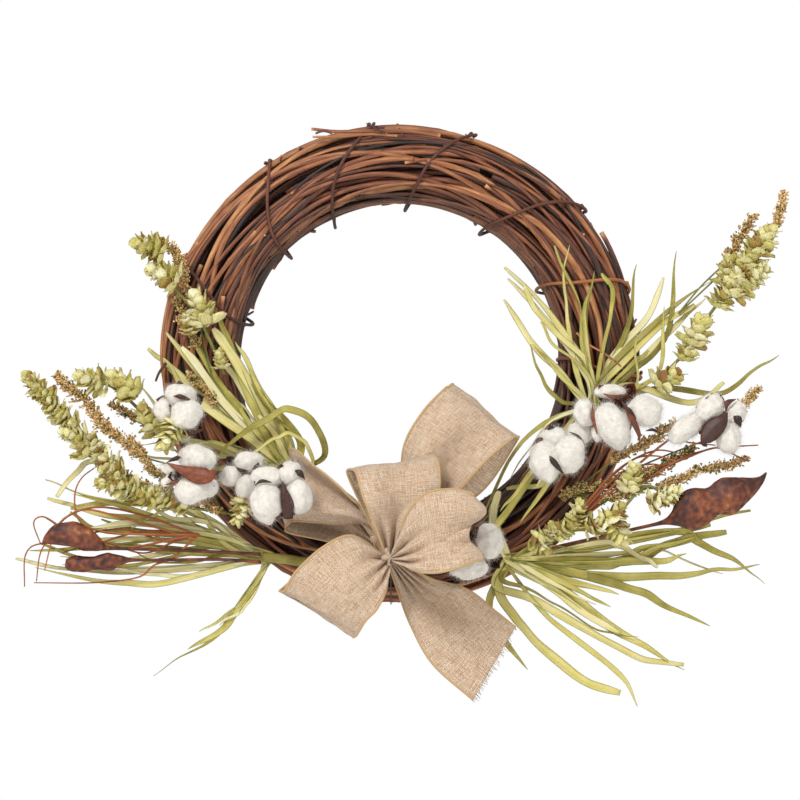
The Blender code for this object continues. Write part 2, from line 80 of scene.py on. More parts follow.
def add(tree, kind, links=None, stops=None, **settings):
    """Adds a shader node, with its settings, its input values or links, and its colour stops."""
    made = tree.nodes.new("ShaderNode" + kind)
    for key, value in settings.items():
        setattr(made, key, value)
    for socket, value in (links or {}).items():
        if isinstance(value, bpy.types.NodeSocket):
            tree.links.new(value, made.inputs[socket])
        else:
            made.inputs[socket].default_value = value
    if stops:
        bar = made.color_ramp.elements
        while len(bar) < len(stops):
            bar.new(1.0)
        for stop, (place, colour) in zip(bar, stops):
            stop.position = place
            stop.color = hex_colour(colour) if isinstance(colour, str) else [colour] * 3 + [1.0]
    return made


def finish(name, roughness, **sockets):
    """A new material with its Principled shader's own numbers set."""
    made = bpy.data.materials.new(name)
    made.use_nodes = True
    shader = made.node_tree.nodes["Principled BSDF"]
    shader.inputs["Roughness"].default_value = roughness
    for socket, value in sockets.items():
        shader.inputs[socket.replace("_", " ")].default_value = value
    return made, made.node_tree, shader


def per_metre(size):
    """How often a pattern of this size in mm repeats in a metre, which is its texture's scale."""
    return 1 / (size * MM)


def bark(name, stops):
    """Grapevine bark: dull fibrous skin with long streaks, worn pale in patches, and painted shade
    on the ring's inner wall.
    """
    patches_round, patch_length = 5, 26.3       # lengths along the cane, in mm
    fibres_round, fibre_length = 22, 7.69
    made, tree, shader = finish(name, 0.62)
    place = add(tree, "UVMap").outputs[0]
    tone = add(tree, "Attribute", attribute_name="tone").outputs["Fac"]
    long_grain = add(tree, "Mapping", {
        0: place, 3: (patches_round, per_metre(patch_length), 1)}).outputs[0]
    fine_grain = add(tree, "Mapping", {
        0: place, 3: (fibres_round, per_metre(fibre_length), 1)}).outputs[0]
    patches = add(tree, "TexNoise", {0: long_grain, "Scale": 1.0, "Detail": 4.0}).outputs["Fac"]
    fibres = add(tree, "TexNoise", {0: fine_grain, "Scale": 1.0, "Detail": 3.0}).outputs["Fac"]
    shift = add(tree, "MapRange", {0: patches, 1: 0.3, 2: 0.7, 3: -0.22, 4: 0.22}).outputs[0]
    level = add(tree, "Math", {0: tone, 1: shift}, operation="ADD").outputs[0]
    colour = add(tree, "ValToRGB", {0: level}, stops).outputs[0]
    streak = add(tree, "ValToRGB", {0: fibres}, [(0.35, 0.62), (0.6, 1.0)]).outputs[0]
    mixed = add(tree, "Mix", {0: 0.75, 6: colour, 7: streak}, data_type="RGBA",
                blend_type="MULTIPLY").outputs[2]
    # Painted shade: the bark on the ring's inner wall, which lies in shadow, is painted a greyer,
    # darker brown.
    whole = add(tree, "TexCoord").outputs["Object"]
    centred = add(tree, "Mapping", {0: whole, 1: -ring_centre, 3: (1, 0, 1)}).outputs[0]
    radius = add(tree, "VectorMath", {0: centred}, operation="LENGTH").outputs["Value"]
    inner_wall_painted_shade = add(tree, "MapRange", {0: radius, 1: ring_inner + 0.001, 2: ring_inner + 0.017,
                                  3: 0.55, 4: 0.0}).outputs[0]
    mixed = add(tree, "Mix", {0: inner_wall_painted_shade, 6: mixed, 7: hex_colour("3d302c")},
                data_type="RGBA").outputs[2]
    tree.links.new(mixed, shader.inputs["Base Color"])
    dull = add(tree, "MapRange", {0: fibres, 1: 0.3, 2: 0.7, 3: 0.72, 4: 0.48}).outputs[0]
    tree.links.new(dull, shader.inputs["Roughness"])
    bump = add(tree, "Bump", {"Strength": 0.35, "Distance": 0.0006, "Height": fibres})
    tree.links.new(bump.outputs[0], shader.inputs["Normal"])
    return made


# Dried grapevine, bark on: reddish brown, some canes tan where the bark is thin, some near
# black. The canes that wrap the ring are darker or paler than the ones they hold.
vine_bark = bark("grapevine_bark", [
    (0.0, "2b211e"), (0.15, "402b22"), (0.34, "6b3c2a"), (0.54, "8f5537"), (0.76, "b37649"),
    (1.0, "d9a56d")])
tie_bark = bark("wrapping_cane_bark", [(0.0, "3a2019"), (0.5, "5e3222"), (1.0, "84492d")])
pale_bark = bark("worn_cane_bark", [(0.0, "8a4a28"), (0.5, "ad6538"), (1.0, "cf8f58")])
willow_bark = bark("curly_willow_bark", [(0.0, "6b341c"), (0.5, "a5592d"), (1.0, "cc8145")])


def woven_burlap():
    """Plain-weave jute: slubby threads about 1 mm apart, drawn a little coarse so they show."""
    thread = 1.1                                # all in mm
    stray, stray_length = 0.9, 11.1             # how a thread wanders from side to side
    slub_width, slub_length = 1.11, 9.09        # where one is paler or darker
    made, tree, shader = finish("burlap_weave", 0.92, Sheen_Weight=0.25, Sheen_Roughness=0.6)
    place = add(tree, "UVMap").outputs[0]
    wobble = add(tree, "TexNoise", {0: place, "Scale": per_metre(stray_length),
                                    "Detail": 2.0}).outputs["Color"]
    wobble = add(tree, "VectorMath", {0: wobble, 1: (0.5, 0.5, 0.5)},
                 operation="SUBTRACT").outputs[0]
    wobble = add(tree, "VectorMath", {0: wobble, "Scale": stray * MM},
                 operation="SCALE").outputs[0]
    place = add(tree, "VectorMath", {0: place, 1: wobble}, operation="ADD").outputs[0]
    # A wave texture turns by 20 radians for each unit of its scale.
    bands = tau / 20 * per_metre(thread)
    warp = add(tree, "TexWave", {0: place, "Scale": bands}, bands_direction="X").outputs["Fac"]
    weft = add(tree, "TexWave", {0: place, "Scale": bands}, bands_direction="Y").outputs["Fac"]
    over = add(tree, "TexChecker", {0: place, "Scale": per_metre(thread), 1: (1, 1, 1, 1),
                                    2: (0, 0, 0, 1)}).outputs["Fac"]
    height = add(tree, "Mix", {0: over, 2: warp, 3: weft}).outputs[0]
    fine, long = per_metre(slub_width), per_metre(slub_length)
    warp_place = add(tree, "Mapping", {0: place, 3: (fine, long, 1)}).outputs[0]
    weft_place = add(tree, "Mapping", {0: place, 3: (long, fine, 1)}).outputs[0]
    warp_tone = add(tree, "TexNoise", {0: warp_place, "Scale": 1.0, "Detail": 2.0}).outputs["Fac"]
    weft_tone = add(tree, "TexNoise", {0: weft_place, "Scale": 1.0, "Detail": 2.0}).outputs["Fac"]
    tone = add(tree, "Mix", {0: over, 2: warp_tone, 3: weft_tone}).outputs[0]
    colour = add(tree, "ValToRGB", {0: tone}, [
        (0.28, "b78c6c"), (0.43, "d2ae8c"), (0.56, "e5caab"), (0.74, "f5e3cb")]).outputs[0]
    # Painted shade: the colour is darkened where the weave dips, in the hollows between the
    # threads.
    weave_painted_shade = add(tree, "ValToRGB", {0: height}, [(0.0, 0.5), (0.55, 1.0)]).outputs[0]
    mixed = add(tree, "Mix", {0: 0.85, 6: colour, 7: weave_painted_shade}, data_type="RGBA",
                blend_type="MULTIPLY").outputs[2]
    tree.links.new(mixed, shader.inputs["Base Color"])
    bump = add(tree, "Bump", {"Strength": 0.7, "Distance": 0.0005, "Height": height})
    tree.links.new(bump.outputs[0], shader.inputs["Normal"])
    return made


def stitched_edge():
    """Golden merrowed edge over the ribbon's wire: satin stitches about 0.8 mm apart."""
    spacing = 0.8       # mm
    made, tree, shader = finish("merrowed_edge_thread", 0.6, Sheen_Weight=0.3)
    place = add(tree, "UVMap").outputs[0]
    along = add(tree, "SeparateXYZ", {0: place}).outputs[1]
    across = add(tree, "SeparateXYZ", {0: place}).outputs[0]
    slant = add(tree, "Math", {0: across, 1: spacing * MM, 2: along}, operation="MULTIPLY_ADD")
    turn = add(tree, "Math", {0: slant.outputs[0], 1: tau * per_metre(spacing)},
               operation="MULTIPLY")
    stitch = add(tree, "Math", {0: turn.outputs[0]}, operation="SINE").outputs[0]
    level = add(tree, "MapRange", {0: stitch, 1: -1.0, 2: 1.0}).outputs[0]
    # Painted shade and light: the thread is painted darker in the grooves between stitches and
    # lighter on their crests.
    colour = add(tree, "ValToRGB", {0: level}, [
        (0.0, "a5804f"), (0.5, "bf9a66"), (1.0, "d3b484")]).outputs[0]
    tree.links.new(colour, shader.inputs["Base Color"])
    bump = add(tree, "Bump", {"Strength": 0.4, "Distance": 0.0003, "Height": level})
    tree.links.new(bump.outputs[0], shader.inputs["Normal"])
    return made


def raw_cotton():
    """Unspun cotton: matt white fluff that light sinks into."""
    tuft_size = 3.125   # mm
    made, tree, shader = finish("raw_cotton", 1.0, Sheen_Weight=0.25, Sheen_Roughness=0.5,
                                Subsurface_Weight=0.15,
                                Subsurface_Radius=(0.003, 0.0022, 0.0015))
    place = add(tree, "TexCoord").outputs["Object"]
    fluff = add(tree, "TexNoise", {0: place, "Scale": per_metre(tuft_size), "Detail": 5.0,
                                   "Roughness": 0.65}).outputs["Fac"]
    colour = add(tree, "ValToRGB", {0: fluff}, [
        (0.3, "d2cbc0"), (0.5, "e1dbd1"), (0.7, "ece8e1")]).outputs[0]
    tree.links.new(colour, shader.inputs["Base Color"])
    bump = add(tree, "Bump", {"Strength": 0.25, "Distance": 0.0010, "Height": fluff})
    tree.links.new(bump.outputs[0], shader.inputs["Normal"])
    return made


def dried_plant(name, stops, roughness, veins, relief, edge=None, soft=0.0, blotch_size=16.7):
    """Dried leaf, husk or stem: toned by each piece's own number, veined along its length and
    blotched. veins: how many lie across it, and how often they change in a metre of stem or in
    one bract. relief is how strongly they stand up, edge the colour of its rim, and soft how
    much light soaks in. blotch_size is in mm."""
    made, tree, shader = finish(name, roughness, Subsurface_Weight=soft,
                                Subsurface_Radius=(0.002, 0.0015, 0.0008))
    place = add(tree, "UVMap").outputs[0]
    tone = add(tree, "Attribute", attribute_name="tone").outputs["Fac"]
    along = add(tree, "Mapping", {0: place, 3: (veins[0], veins[1], 1)}).outputs[0]
    vein = add(tree, "TexNoise", {0: along, "Scale": 1.0, "Detail": 3.0}).outputs["Fac"]
    whole = add(tree, "TexCoord").outputs["Object"]
    blotch = add(tree, "TexNoise", {0: whole, "Scale": per_metre(blotch_size),
                                    "Detail": 5.0}).outputs["Fac"]
    shift = add(tree, "MapRange", {0: blotch, 1: 0.3, 2: 0.7, 3: -0.16, 4: 0.16}).outputs[0]
    level = add(tree, "Math", {0: tone, 1: shift}, operation="ADD").outputs[0]
    colour = add(tree, "ValToRGB", {0: level}, stops).outputs[0]
    lines = add(tree, "ValToRGB", {0: vein}, [(0.36, 0.72), (0.6, 1.0)]).outputs[0]
    mixed = add(tree, "Mix", {0: 0.8, 6: colour, 7: lines}, data_type="RGBA",
                blend_type="MULTIPLY").outputs[2]
    if edge:
        across = add(tree, "SeparateXYZ", {0: place}).outputs[0]
        centred = add(tree, "Math", {0: across, 1: 0.5}, operation="SUBTRACT").outputs[0]
        outward = add(tree, "Math", {0: centred}, operation="ABSOLUTE").outputs[0]
        rim = add(tree, "MapRange", {0: outward, 1: 0.40, 2: 0.49, 3: 0.0, 4: 0.75}).outputs[0]
        mixed = add(tree, "Mix", {0: rim, 6: mixed, 7: hex_colour(edge)},
                    data_type="RGBA").outputs[2]
    tree.links.new(mixed, shader.inputs["Base Color"])
    bump = add(tree, "Bump", {"Strength": relief, "Distance": 0.0005, "Height": vein})
    tree.links.new(bump.outputs[0], shader.inputs["Normal"])
    return made


def lacquered_wire():
    """Florist's wire: dark lacquer, slightly uneven every 2 mm or so."""
    mottle_size = 2.0   # mm
    made, tree, shader = finish("lacquered_wire", 0.4)
    place = add(tree, "TexCoord").outputs["Object"]
    mottle = add(tree, "TexNoise", {0: place, "Scale": per_metre(mottle_size)}).outputs["Fac"]
    colour = add(tree, "ValToRGB", {0: mottle}, [(0.35, "2a1f1a"), (0.65, "4a362b")]).outputs[0]
    tree.links.new(colour, shader.inputs["Base Color"])
    return made


wire_paint = lacquered_wire()
burlap = woven_burlap()
edge_thread = stitched_edge()
cotton_fluff = raw_cotton()
# Air-dried grass keeps its green along the edges and yellows between the veins.
grass_leaf = dried_plant("air_dried_grass", [
    (0.0, "918438"), (0.22, "b5a950"), (0.45, "d6c971"), (0.7, "e6da95"), (1.0, "efe6bb")],
    0.6, (16.0, 7.0), 0.6, "6f7c33", 0.3)
hop_paper = dried_plant("dried_hop_bract", [
    (0.0, "9a6a3c"), (0.14, "b59a4e"), (0.34, "d6cd76"), (0.62, "eee5a2"), (1.0, "fbf5ce")],
    0.75, (9.0, 3.0), 0.45, "b7a956", 0.25)
seed_husk = dried_plant("dried_seed_husk", [
    (0.0, "3f5c30"), (0.12, "6b7a3c"), (0.2, "b38d4e"), (0.45, "d9ad69"), (0.75, "edc98c"),
    (1.0, "fae5b8")], 0.8, (3.0, 3.0), 0.2)
green_stem = dried_plant("dried_green_stem", [
    (0.0, "4f5626"), (0.5, "7d7d38"), (1.0, "a6a05a")], 0.6, (6.0, 40.0), 0.3)
burr_husk = dried_plant("dried_cotton_burr", [
    (0.0, "2a1612"), (0.3, "4b261a"), (0.55, "74391f"), (0.8, "98512b"), (1.0, "b97a4b")],
    0.5, (10.0, 60.0), 0.45, blotch_size=3.85)
pod_skin = dried_plant("dried_pod_skin", [
    (0.0, "25110c"), (0.3, "482116"), (0.55, "70371f"), (0.8, "94522b"), (1.0, "b67b47")],
    0.6, (20.0, 60.0), 0.8, blotch_size=4.76)


# ---- Mesh helpers ----------------------------------------------------------------------
def new_mesh():
    """An empty mesh with a UV map and a tone for each vertex, which the materials read."""
    mesh = bmesh.new()
    mesh.loops.layers.uv.new("UVMap")
    mesh.verts.layers.float.new("tone")
    return mesh


def grid_piece(columns, rows, place, size, tone):
    """A grid bent into shape: place(u, v) gives the point at u across and v along, each 0 to 1.
    Its UV map runs to size, so that a pattern keeps its real scale."""
    mesh = new_mesh()
    tones = mesh.verts.layers.float["tone"]
    bmesh.ops.create_grid(mesh, x_segments=columns, y_segments=rows, size=0.5, calc_uvs=True)
    for vert in mesh.verts:
        u, v = vert.co.x + 0.5, vert.co.y + 0.5
        vert[tones] = tone(u, v) if callable(tone) else tone
        vert.co = place(u, v)
    layer = mesh.loops.layers.uv["UVMap"]
    for face in mesh.faces:
        for loop in face.loops:
            loop[layer].uv.x *= size[0]
            loop[layer].uv.y *= size[1]
    return mesh


def close_seams(mesh, gap=1e-6):
    """Joins a grid's meeting edges and fills the holes at its ends."""
    bmesh.ops.remove_doubles(mesh, verts=mesh.verts, dist=gap)
    rim = [edge for edge in mesh.edges if edge.is_boundary]
    bmesh.ops.holes_fill(mesh, edges=rim, sides=0)
    bmesh.ops.recalc_face_normals(mesh, faces=mesh.faces)


def frames_along(path, up=Vector((0, -1, 0))):
    """A side and a front direction at each point of a path, that turn as little as possible."""
    frames = []
    side = None
    for index in range(len(path)):
        ahead = (path[min(index + 1, len(path) - 1)] - path[max(index - 1, 0)]).normalized()
        if side is None:
            side = ahead.cross(up)
            if side.length < 0.1:
                side = ahead.cross(Vector((0, 0, 1)))
        side = (side - ahead * side.dot(ahead)).normalized()
        frames.append((side.copy(), side.cross(ahead).normalized()))
    return frames


def tube(path, radii, sides, tone, flat=1.0):
    """A closed tube through a path, with a radius for each point; flat thins it front to back."""
    frames = frames_along(path)
    last = len(path) - 1
    length = sum((b - a).length for a, b in zip(path, path[1:]))

    def surface(u, v):
        index = min(int(round(v * last)), last)
        side, front = frames[index]
        turn = tau * u
        radius = radii[index]
        return path[index] + side * (cos(turn) * radius) + front * (sin(turn) * radius * flat)
    mesh = grid_piece(sides, last, surface, (1.0, length), tone)
    close_seams(mesh)
    return mesh


def smooth_path(points, steps):
    """Catmull-Rom curve through the points, with the given steps in each stretch."""
    ends = [2 * points[0] - points[1], *points, 2 * points[-1] - points[-2]]
    path = []
    for index in range(1, len(ends) - 2):
        a, b, c, d = ends[index - 1:index + 3]
        for step in range(steps):
            t = step / steps
            path.append(0.5 * (2 * b + (c - a) * t + (2 * a - 5 * b + 4 * c - d) * t ** 2
                               + (3 * b - a - 3 * c + d) * t ** 3))
    path.append(points[-1].copy())
    return path


def gathered(meshes):
    """Several meshes as one."""
    whole = new_mesh()
    for mesh in meshes:
        data = bpy.data.meshes.new("part")
        mesh.to_mesh(data)
        mesh.free()
        whole.from_mesh(data)
        bpy.data.meshes.remove(data)
    return whole


def piece(name, mesh, materials, nodes=()):
    """A finished piece that rides with the wreath and stands for the CAD nodes named."""
    data = bpy.data.meshes.new(name)
    mesh.to_mesh(data)
    mesh.free()
    for made in materials:
        data.materials.append(made)
    data.shade_smooth()
    obj = bpy.data.objects.new(name, data)
    bpy.context.scene.collection.objects.link(obj)
    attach(obj, "root")
    if nodes:
        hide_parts(*nodes)
    return obj


def scattered(template, places, tones):
    """Copies of a small template mesh at many places, as one mesh, each with its own tone."""
    shape = bpy.data.meshes.new("template")
    template.to_mesh(shape)
    template.free()
    count = len(shape.vertices)
    base = np.array([list(vert.co) + [1.0] for vert in shape.vertices])
    polys = [tuple(poly.vertices) for poly in shape.polygons]
    points = np.concatenate([base @ np.array(place).T for place in places])[:, :3]
    faces = [tuple(index + copy * count for index in poly)
             for copy in range(len(places)) for poly in polys]
    data = bpy.data.meshes.new("copies")
    data.from_pydata(points.tolist(), [], faces)
    layer = data.uv_layers.new(name="UVMap")
    source = shape.uv_layers.active.data
    coords = [tuple(loop.uv) for loop in source] * len(places)
    layer.data.foreach_set("uv", [number for coord in coords for number in coord])
    tone = data.attributes.new("tone", "FLOAT", "POINT")
    tone.data.foreach_set("value", np.repeat(tones, count))
    mesh = bmesh.new()
    mesh.from_mesh(data)
    bpy.data.meshes.remove(data)
    bpy.data.meshes.remove(shape)
    return mesh


# ---- The vine ring ---------------------------------------------------------------------
STATIONS = 96
# Each layer: its canes, and how far out they lie, from 0 at the section's middle to 1.
LAYERS = [(29, 0.99), (24, 0.78), (17, 0.52), (8, 0.25)]
CANES = sum(count for count, share in LAYERS)


def settle_canes():
    """Where each cane lies in the ring's section at each station: the canes start on rough
    layers, drift round the section as they go, and push each other apart until they pack."""
    rounds = 70
    shove = 0.42        # the share of an overlap that one round opens
    pull = 0.03         # the share of its way back to its layer that a cane goes
    stiffness = 0.30    # how strongly a cane straightens along its own length
    rng = np.random.default_rng(7)
    turns = np.arange(STATIONS) / STATIONS
    radii = (1.15 + 1.85 * rng.random(CANES) ** 1.5) * MM      # 1.15 to 3 mm, most of them thin
    breaks = rng.integers(0, STATIONS, CANES)
    wide, deep = section_half_width + 0.001, ring_half_depth + 0.001
    across = np.zeros((STATIONS, CANES))
    forward = np.zeros((STATIONS, CANES))
    cane = 0
    for count, share in LAYERS:
        for number in range(count):
            along = (turns - breaks[cane] / STATIONS) % 1.0
            drift = rng.uniform(-1.3, 2.0) * along * 1.6
            sway = 0.30 * np.sin(tau * (rng.integers(1, 5) * turns + rng.random()))
            phase = tau * (number + rng.uniform(-0.3, 0.3)) / count + drift + sway
            dive = share + 0.10 * np.sin(tau * (rng.integers(1, 3) * turns + rng.random()))
            across[:, cane] = wide * dive * np.cos(phase)
            forward[:, cane] = deep * dive * np.sin(phase)
            cane += 1
    aim = np.stack([across, forward], axis=-1)
    spots = aim.copy()
    index = np.arange(STATIONS)[:, None]
    before = np.where(index == breaks, index, (index - 1) % STATIONS)
    after = np.where((index + 1) % STATIONS == breaks, index, (index + 1) % STATIONS)
    column = np.arange(CANES)[None, :]
    reach = radii[:, None] + radii[None, :]
    for settling in range(rounds):
        gap = spots[:, :, None, :] - spots[:, None, :, :]
        distance = np.sqrt((gap ** 2).sum(-1)) + 1e-9
        push = np.clip(reach - distance, 0, None) * (1 - np.eye(CANES))
        spots += (gap / distance[..., None] * push[..., None]).sum(2) * shove
        spots += (aim - spots) * pull
        spots += stiffness * (spots[before, column] + spots[after, column] - 2 * spots)
        inner = np.stack([wide - radii, deep - radii], axis=-1)
        far = np.sqrt(((spots / inner) ** 2).sum(-1, keepdims=True))
        spots = np.where(far > 1, spots / far, spots)
    return spots, radii, breaks, rng


def cane_point(turn, across, forward):
    """The place at an angle round the ring, out from and forward of its section's middle."""
    radius = ring_mean + across
    return ring_centre + Vector((radius * cos(turn), -forward, radius * sin(turn)))


def cane_mesh(spots, radius, first, tone, seed):
    """One cane through its settled spots, with joints, a little waviness and cut ends."""
    rng = random.Random(seed)
    fine = 2
    lifted = 10         # steps over which an end may stand up from the ring
    steps = (STATIONS - 1) * fine
    lift = [rng.uniform(0, 0.004) if rng.random() < 0.35 else 0.0 for end in range(2)]
    path = []
    for step in range(steps + 1):
        station = step / fine
        low = int(station)
        high = min(low + 1, STATIONS - 1)
        part = station - low
        a = spots[(first + low) % STATIONS]
        b = spots[(first + high) % STATIONS]
        across = a[0] + (b[0] - a[0]) * part
        forward = a[1] + (b[1] - a[1]) * part
        loose = max(0, 1 - step / lifted) * lift[0]
        loose += max(0, 1 - (steps - step) / lifted) * lift[1]
        stretch = 1 + loose / max(sqrt(across ** 2 + forward ** 2), 0.004)
        path.append(cane_point(tau * (first + station) / STATIONS, across * stretch,
                               forward * stretch))
    joint = rng.uniform(14, 24)
    offset = rng.uniform(0, joint)
    radii = []
    for step in range(steps + 1):
        near = abs((step + offset) % joint - joint / 2)
        swell = 0.24 * max(0, 1 - near / 1.2)
        rough = 0.10 * noise.noise(Vector((step * 0.21, seed * 3.7, 0)))
        taper = 0.8 + 0.2 * min(1, step / 30, (steps - step) / 30)
        radii.append(radius * (1 + swell + rough) * taper)
    return tube(path, radii, 8, tone)


def bark_tone(level):
    """The tone of one cane along its length: its own, and pale wood at its two cut ends."""
    return lambda u, v: 1.0 if v < 1e-6 or v > 1 - 1e-6 else level


def crossing_cane(rng, side, radius, level, span):
    """A cane laid over the others, that slants across the ring's front (side 1) or back (-1)."""
    begin = rng.uniform(0, tau)
    start = rng.uniform(0.2, 2.6)
    phases = [start, min(2.9, max(0.1, start + rng.choice([-1, 1]) * span * 0.9))]
    wave = rng.uniform(0, tau)
    ends = [rng.choice([0.80, 0.84, 0.90, 0.96, 1.06]) for end in range(2)]
    steps = max(12, int(span * 26))
    path = []
    for step in range(steps + 1):
        part = step / steps
        phase = phases[0] + (phases[1] - phases[0]) * part + 0.14 * sin(5 * part + wave)
        lift = 1.0 + 0.012 * sin(9 * part + wave)
        lift += (ends[0] - 1) * max(0, 1 - 6 * part) + (ends[1] - 1) * max(0, 6 * part - 5)
        path.append(cane_point(begin + span * part,
                               section_half_width * lift * cos(phase),
                               side * ring_half_depth * lift * sin(phase)))
    radii = [radius * (1 + 0.10 * noise.noise(Vector((step * 0.4, begin * 9, 0)))
                       + (0.3 if step % 11 == 5 else 0)) for step in range(steps + 1)]
    return tube(path, radii, 8, bark_tone(level))


def bud(rng):
    """A short spur or a cut side shoot on the ring's face."""
    turn = rng.uniform(0, tau)
    phase = rng.uniform(-0.6, pi + 0.6)
    foot = cane_point(turn, (section_half_width - 0.002) * cos(phase),
                      (ring_half_depth - 0.002) * sin(phase))
    ahead = Vector((-sin(turn), 0, cos(turn))) * rng.choice([-1, 1])
    out = (foot - cane_point(turn, 0, 0)).normalized()
    length = rng.uniform(0.003, 0.007)
    path = [foot + (ahead * 0.8 * part + out * (0.9 * part ** 0.7)) * length
            for part in (0, 0.35, 0.7, 1.0)]
    radius = rng.uniform(0.0007, 0.0013)
    return tube(path, [radius * 1.3, radius, radius, radius * 0.8], 6,
                bark_tone(rng.uniform(0.2, 0.7)))


def loose_cane(points, radius, level):
    """A cane's end that stands clear, through places in mm, and thinner towards its tip."""
    path = smooth_path([at(*point) for point in points], 8)
    last = len(path) - 1
    return tube(path, [radius * (1 - 0.35 * index / last) for index in range(last + 1)], 8,
                bark_tone(level))


# Cane ends that stand clear of the ring, over its top and down its two sides. Each: its places
# (X, forward, Z in mm), its radius and its tone.
LOOSE_ENDS = [
    ([(30, -8, 318), (6, -8, 321), (-22, -8, 321.5), (-46, -9, 321), (-66, -10, 323)],
     0.0017, 0.55),
    ([(-2, -10, 318), (-22, -9, 319), (-42, -9, 317.5), (-65, -10, 317)], 0.0013, 0.75),
    ([(-50, -9, 320), (-57, -9, 321.5), (-63, -9, 319.5)], 0.0012, 0.3),
    ([(-10, -4, 319), (-18, -3, 323), (-25, -4, 327)], 0.0009, 0.2),
    ([(-150, 6, 238), (-163, 10, 219), (-171, 12, 196), (-176, 12, 168), (-176, 10, 142),
      (-171, 6, 120)], 0.0013, 0.7),
    ([(131, 3, 171), (139, 6, 163), (151, 7, 156), (163, 6, 147), (168, 2, 138)], 0.0009, 0.8),
    ([(-172, 10, 150), (-178, 11, 142), (-181, 11, 135)], 0.0012, 0.2)]


def vine_ring():
    """The settled canes, then the ones laid across them, dealt out in turn to the ring's nodes."""
    crossing, black, buds = 44, 7, 40
    spots, radii, breaks, rng = settle_canes()
    nodes = hank_names + core_names
    depth = np.concatenate([np.full(count, share) for count, share in LAYERS])
    # Painted shade: each cane's tone is scaled down by how deep its layer lies, so the inner canes
    # look shadowed.
    tones = np.clip(rng.normal(0.50, 0.22, CANES) * depth ** 0.9, 0.02, 0.98)
    groups = [[] for node in nodes]
    for cane in range(CANES):
        groups[cane % len(nodes)].append(
            cane_mesh(spots[:, cane], radii[cane], int(breaks[cane]), float(tones[cane]), cane))
    pick = random.Random(17)
    laid = []
    for number in range(crossing):
        side = 1 if number % 5 < 3 else -1      # three at the front for two at the back
        level = min(0.88, max(0.05, pick.gauss(0.54, 0.20)))
        laid.append(crossing_cane(pick, side, pick.uniform(0.0011, 0.0021), level,
                                  radians(pick.uniform(50, 150))))
    for number in range(black):
        laid.append(crossing_cane(pick, 1, 0.0010, 0.03, radians(pick.uniform(90, 140))))
    laid += [bud(pick) for number in range(buds)]
    laid += [loose_cane(*end) for end in LOOSE_ENDS]
    for number, mesh in enumerate(laid):
        groups[number % len(nodes)].append(mesh)
    for node, meshes in zip(nodes, groups):
        piece(node.replace("hank", "canes"), gathered(meshes), [vine_bark], [node])


# ---- Wrapping canes --------------------------------------------------------------------
def wrapping_cane(node, outer_angle, inner_angle, made, seed, hook):
    """A thin cane wrapped once round the ring, at one angle on its outside and another on its
    inside, in degrees. It stands off by the hook at the inner edge."""
    rng = random.Random(seed)
    cane_radius = 0.00125
    steps = 64
    overlap = 6
    low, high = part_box(node)
    depth = (high.y - low.y) / 2 - 0.0015
    wide = section_half_width + depth - ring_half_depth
    middle = radians(outer_angle + inner_angle) / 2
    slant = radians(outer_angle - inner_angle) / 2
    path = []
    for step in range(steps + overlap):
        turn = tau * step / steps - 0.35
        spread = 1 + 0.012 * sin(5 * turn + seed)
        stand_off = hook * max(0, -cos(turn)) ** 8
        across = (wide + stand_off) * cos(turn) * spread
        path.append(cane_point(middle + slant * cos(turn) + 0.012 * sin(3 * turn + seed)
                               + 0.030 * sin(turn) * (hook > 0) + 0.02 * step / steps,
                               across, depth * sin(turn) * spread))
    radii = [cane_radius * (1 + 0.12 * noise.noise(Vector((step * 0.3, seed, 1))))
             for step in range(len(path))]
    piece(node.replace("tie", "wrap"), tube(path, radii, 8, rng.uniform(0.3, 0.7)),
          [made], [node])


# ---- The bow ---------------------------------------------------------------------------
PLEATS = 4          # fine gathers across the ribbon where the waist pinches it
FOLDS = 1.4         # and the soft folds that they open into
CLOTH_ACROSS, CLOTH_ALONG = 56, 110     # the ribbon's faces
ribbon_width = 0.0635


def ribbon_surface(stations, seed):
    """The ribbon as a function of its width (0 to 1) and length (0 to 1). Each station: centre
    (X, forward, Z in mm from the knot), the direction of its width, the share of the full
    width that it spans, and how far its second edge leans forward in mm."""
    centres = [knot + Vector((x, -f, z)) * MM for x, f, z, turn, share, lean in stations]
    halves = []
    for x, f, z, turn, share, lean in stations:
        half = ribbon_width / 2 * share
        halves.append(Vector((cos(radians(turn)) * half, -lean * MM / 2,
                              sin(radians(turn)) * half)))
    steps = 12
    path = smooth_path(centres, steps)
    spread = smooth_path(halves, steps)
    last = len(path) - 1
    normals = []
    before = None
    for index in range(last + 1):
        ahead = path[min(index + 1, last)] - path[max(index - 1, 0)]
        normal = ahead.cross(spread[index])
        normal = normal.normalized() if normal.length > 1e-12 else before
        normals.append(normal)
        before = normal
    length = sum((b - a).length for a, b in zip(path, path[1:]))

    def surface(u, v):
        place = v * last
        index = min(int(place), last - 1)
        part = place - index
        centre = path[index].lerp(path[index + 1], part)
        half = spread[index].lerp(spread[index + 1], part)
        normal = normals[index].lerp(normals[index + 1], part).normalized()
        across = 2 * u - 1
        share = min(1.0, half.length / (ribbon_width / 2))
        spare = sqrt(max(0.0, 1 / share ** 2 - 1))
        reach = Vector((centre.x - knot.x, 0, centre.z - knot.z)).length
        pinch = min(1.0, max(0.0, (0.046 - reach) / 0.030))
        small = min(0.0040, half.length / (2 * PLEATS) * spare) * pinch
        large = min(0.0075, half.length / (2 * FOLDS) * spare) * (1 - pinch)
        uneven = across + 0.22 * sin(2.3 * across + seed * 2)
        fold = small * sin(PLEATS * pi * (uneven + 1) + seed)
        fold += large * sin(FOLDS * pi * (across + 1) + seed * 1.7)
        crumple = 0.0030 * noise.noise(Vector((u * 2.0 + seed * 5, v * length * 26, seed)))
        crumple += 0.0008 * noise.noise(Vector((u * 6.0 + seed * 5, v * length * 90, seed)))
        return centre + half * across + normal * (fold + crumple)
    return surface, length


